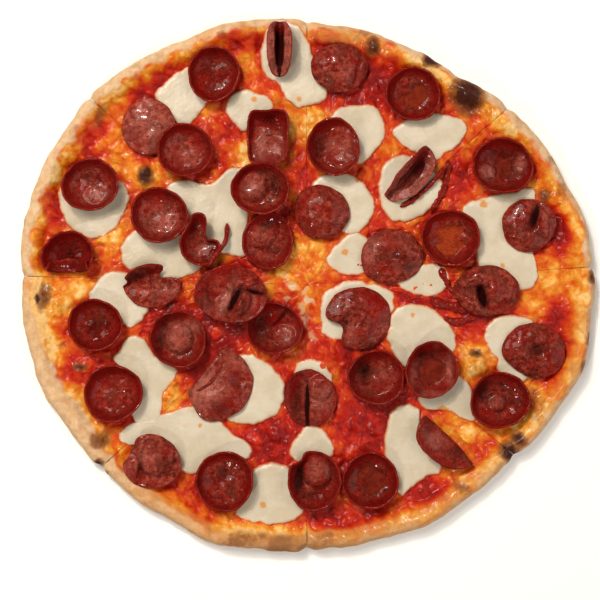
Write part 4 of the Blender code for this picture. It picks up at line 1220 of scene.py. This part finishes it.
for index, cut in enumerate(CUTS):
    following = CUTS[index + 1] if index + 1 < len(CUTS) else CUTS[0] + 360.0
    add_slice(index + 1, cut, following, crust)
for index, (letter, outlines) in enumerate(POOLS.items()):
    made = join([pool_mesh(outline, POOL_THICK, POOL_SEED + 10 * index + k)
                 for k, outline in enumerate(outlines)])
    node = "mozzarella_" + letter
    new_piece("melted_" + node, *made, cheese, "mozzarella", [node])
made = join([pool_mesh(outline, MELT_THICK, MELT_SEED + 10 * k)
             for k, outline in enumerate(MELTED)])
new_piece("melted_thin_pools", *made, cheese, "mozzarella", None)
for index, (key, at, half, lip, crown, lean, *look) in enumerate(ROUNDS):
    points, masks = round_mesh(key, at, half, lip, crown, *look, ROUND_SEED + index)
    lay_pepperoni(key, at, points, masks, 0, lean, sausage)
for index, (key, at, turn, shade, *sheet) in enumerate(FOLDS):
    points, masks = fold_mesh(key, at, turn, shade, *sheet, FOLD_SEED + index)
    lay_pepperoni(key, at, points, masks, turn, (0, 0), sausage, OUTSIDE_DARK if shade else 1.0)
made = join([strand_mesh(*strip) for strip in STRANDS])
new_piece("red_strands", *made, sausage, "pepperoni", None)


# --------------------------------------------------------------- floor, lights
VIEW_X, VIEW_Y = on_plan(300, 300)      # the middle of the view on the plan
VIEW_WIDTH = 600 * PLAN_UNIT            # millimetres across at the toppings
LENS, SENSOR, TOPPING_HEIGHT = 100.0, 36.0, 8.0
FLOOR_SIZE, FLOOR_GAP = 6.0, 0.0002     # metres
DAYLIGHT = 0.12                         # strength of the white surroundings

bpy.ops.mesh.primitive_plane_add(size=FLOOR_SIZE)
floor = bpy.context.object
floor.name = "floor"
floor.location.z = -FLOOR_GAP
floor.data.materials.append(floor_material())

camera_data = bpy.data.cameras.new("camera")
camera_data.lens, camera_data.sensor_width = LENS, SENSOR
camera_data.clip_start, camera_data.clip_end = 0.05, 20.0
camera = bpy.data.objects.new("camera", camera_data)
height = TOPPING_HEIGHT + VIEW_WIDTH * LENS / SENSOR
camera.location = (VIEW_X * MM, VIEW_Y * MM, height * MM)
bpy.context.collection.objects.link(camera)
bpy.context.scene.camera = camera


def area_light(name, place, size, power, colour):
    """Soft square light that faces the pizza."""
    data = bpy.data.lights.new(name, "AREA")
    data.size, data.energy, data.color = size, power, colour
    light = bpy.data.objects.new(name, data)
    light.location = place
    light.rotation_euler = (-Vector(place)).to_track_quat("-Z", "Y").to_euler()
    bpy.context.collection.objects.link(light)


area_light("key", (-0.60, 0.75, 1.35), 0.80, 20.0, (1.0, 0.94, 0.86))
area_light("fill", (1.2, -0.3, 1.1), 1.5, 12.0, (1.0, 0.96, 0.91))
area_light("glint", (-0.55, -0.85, 1.0), 0.08, 4.5, (1.0, 0.97, 0.92))
area_light("spark", (-0.50, 0.80, 1.20), 0.08, 7.0, (1.0, 0.96, 0.90))

world = bpy.data.worlds.new("studio")
world.use_nodes = True
sky = world.node_tree.nodes["Background"]
sky.inputs["Color"].default_value = (1.0, 1.0, 1.0, 1.0)
sky.inputs["Strength"].default_value = DAYLIGHT
bpy.context.scene.world = world
bpy.context.scene.view_settings.view_transform = "Standard"
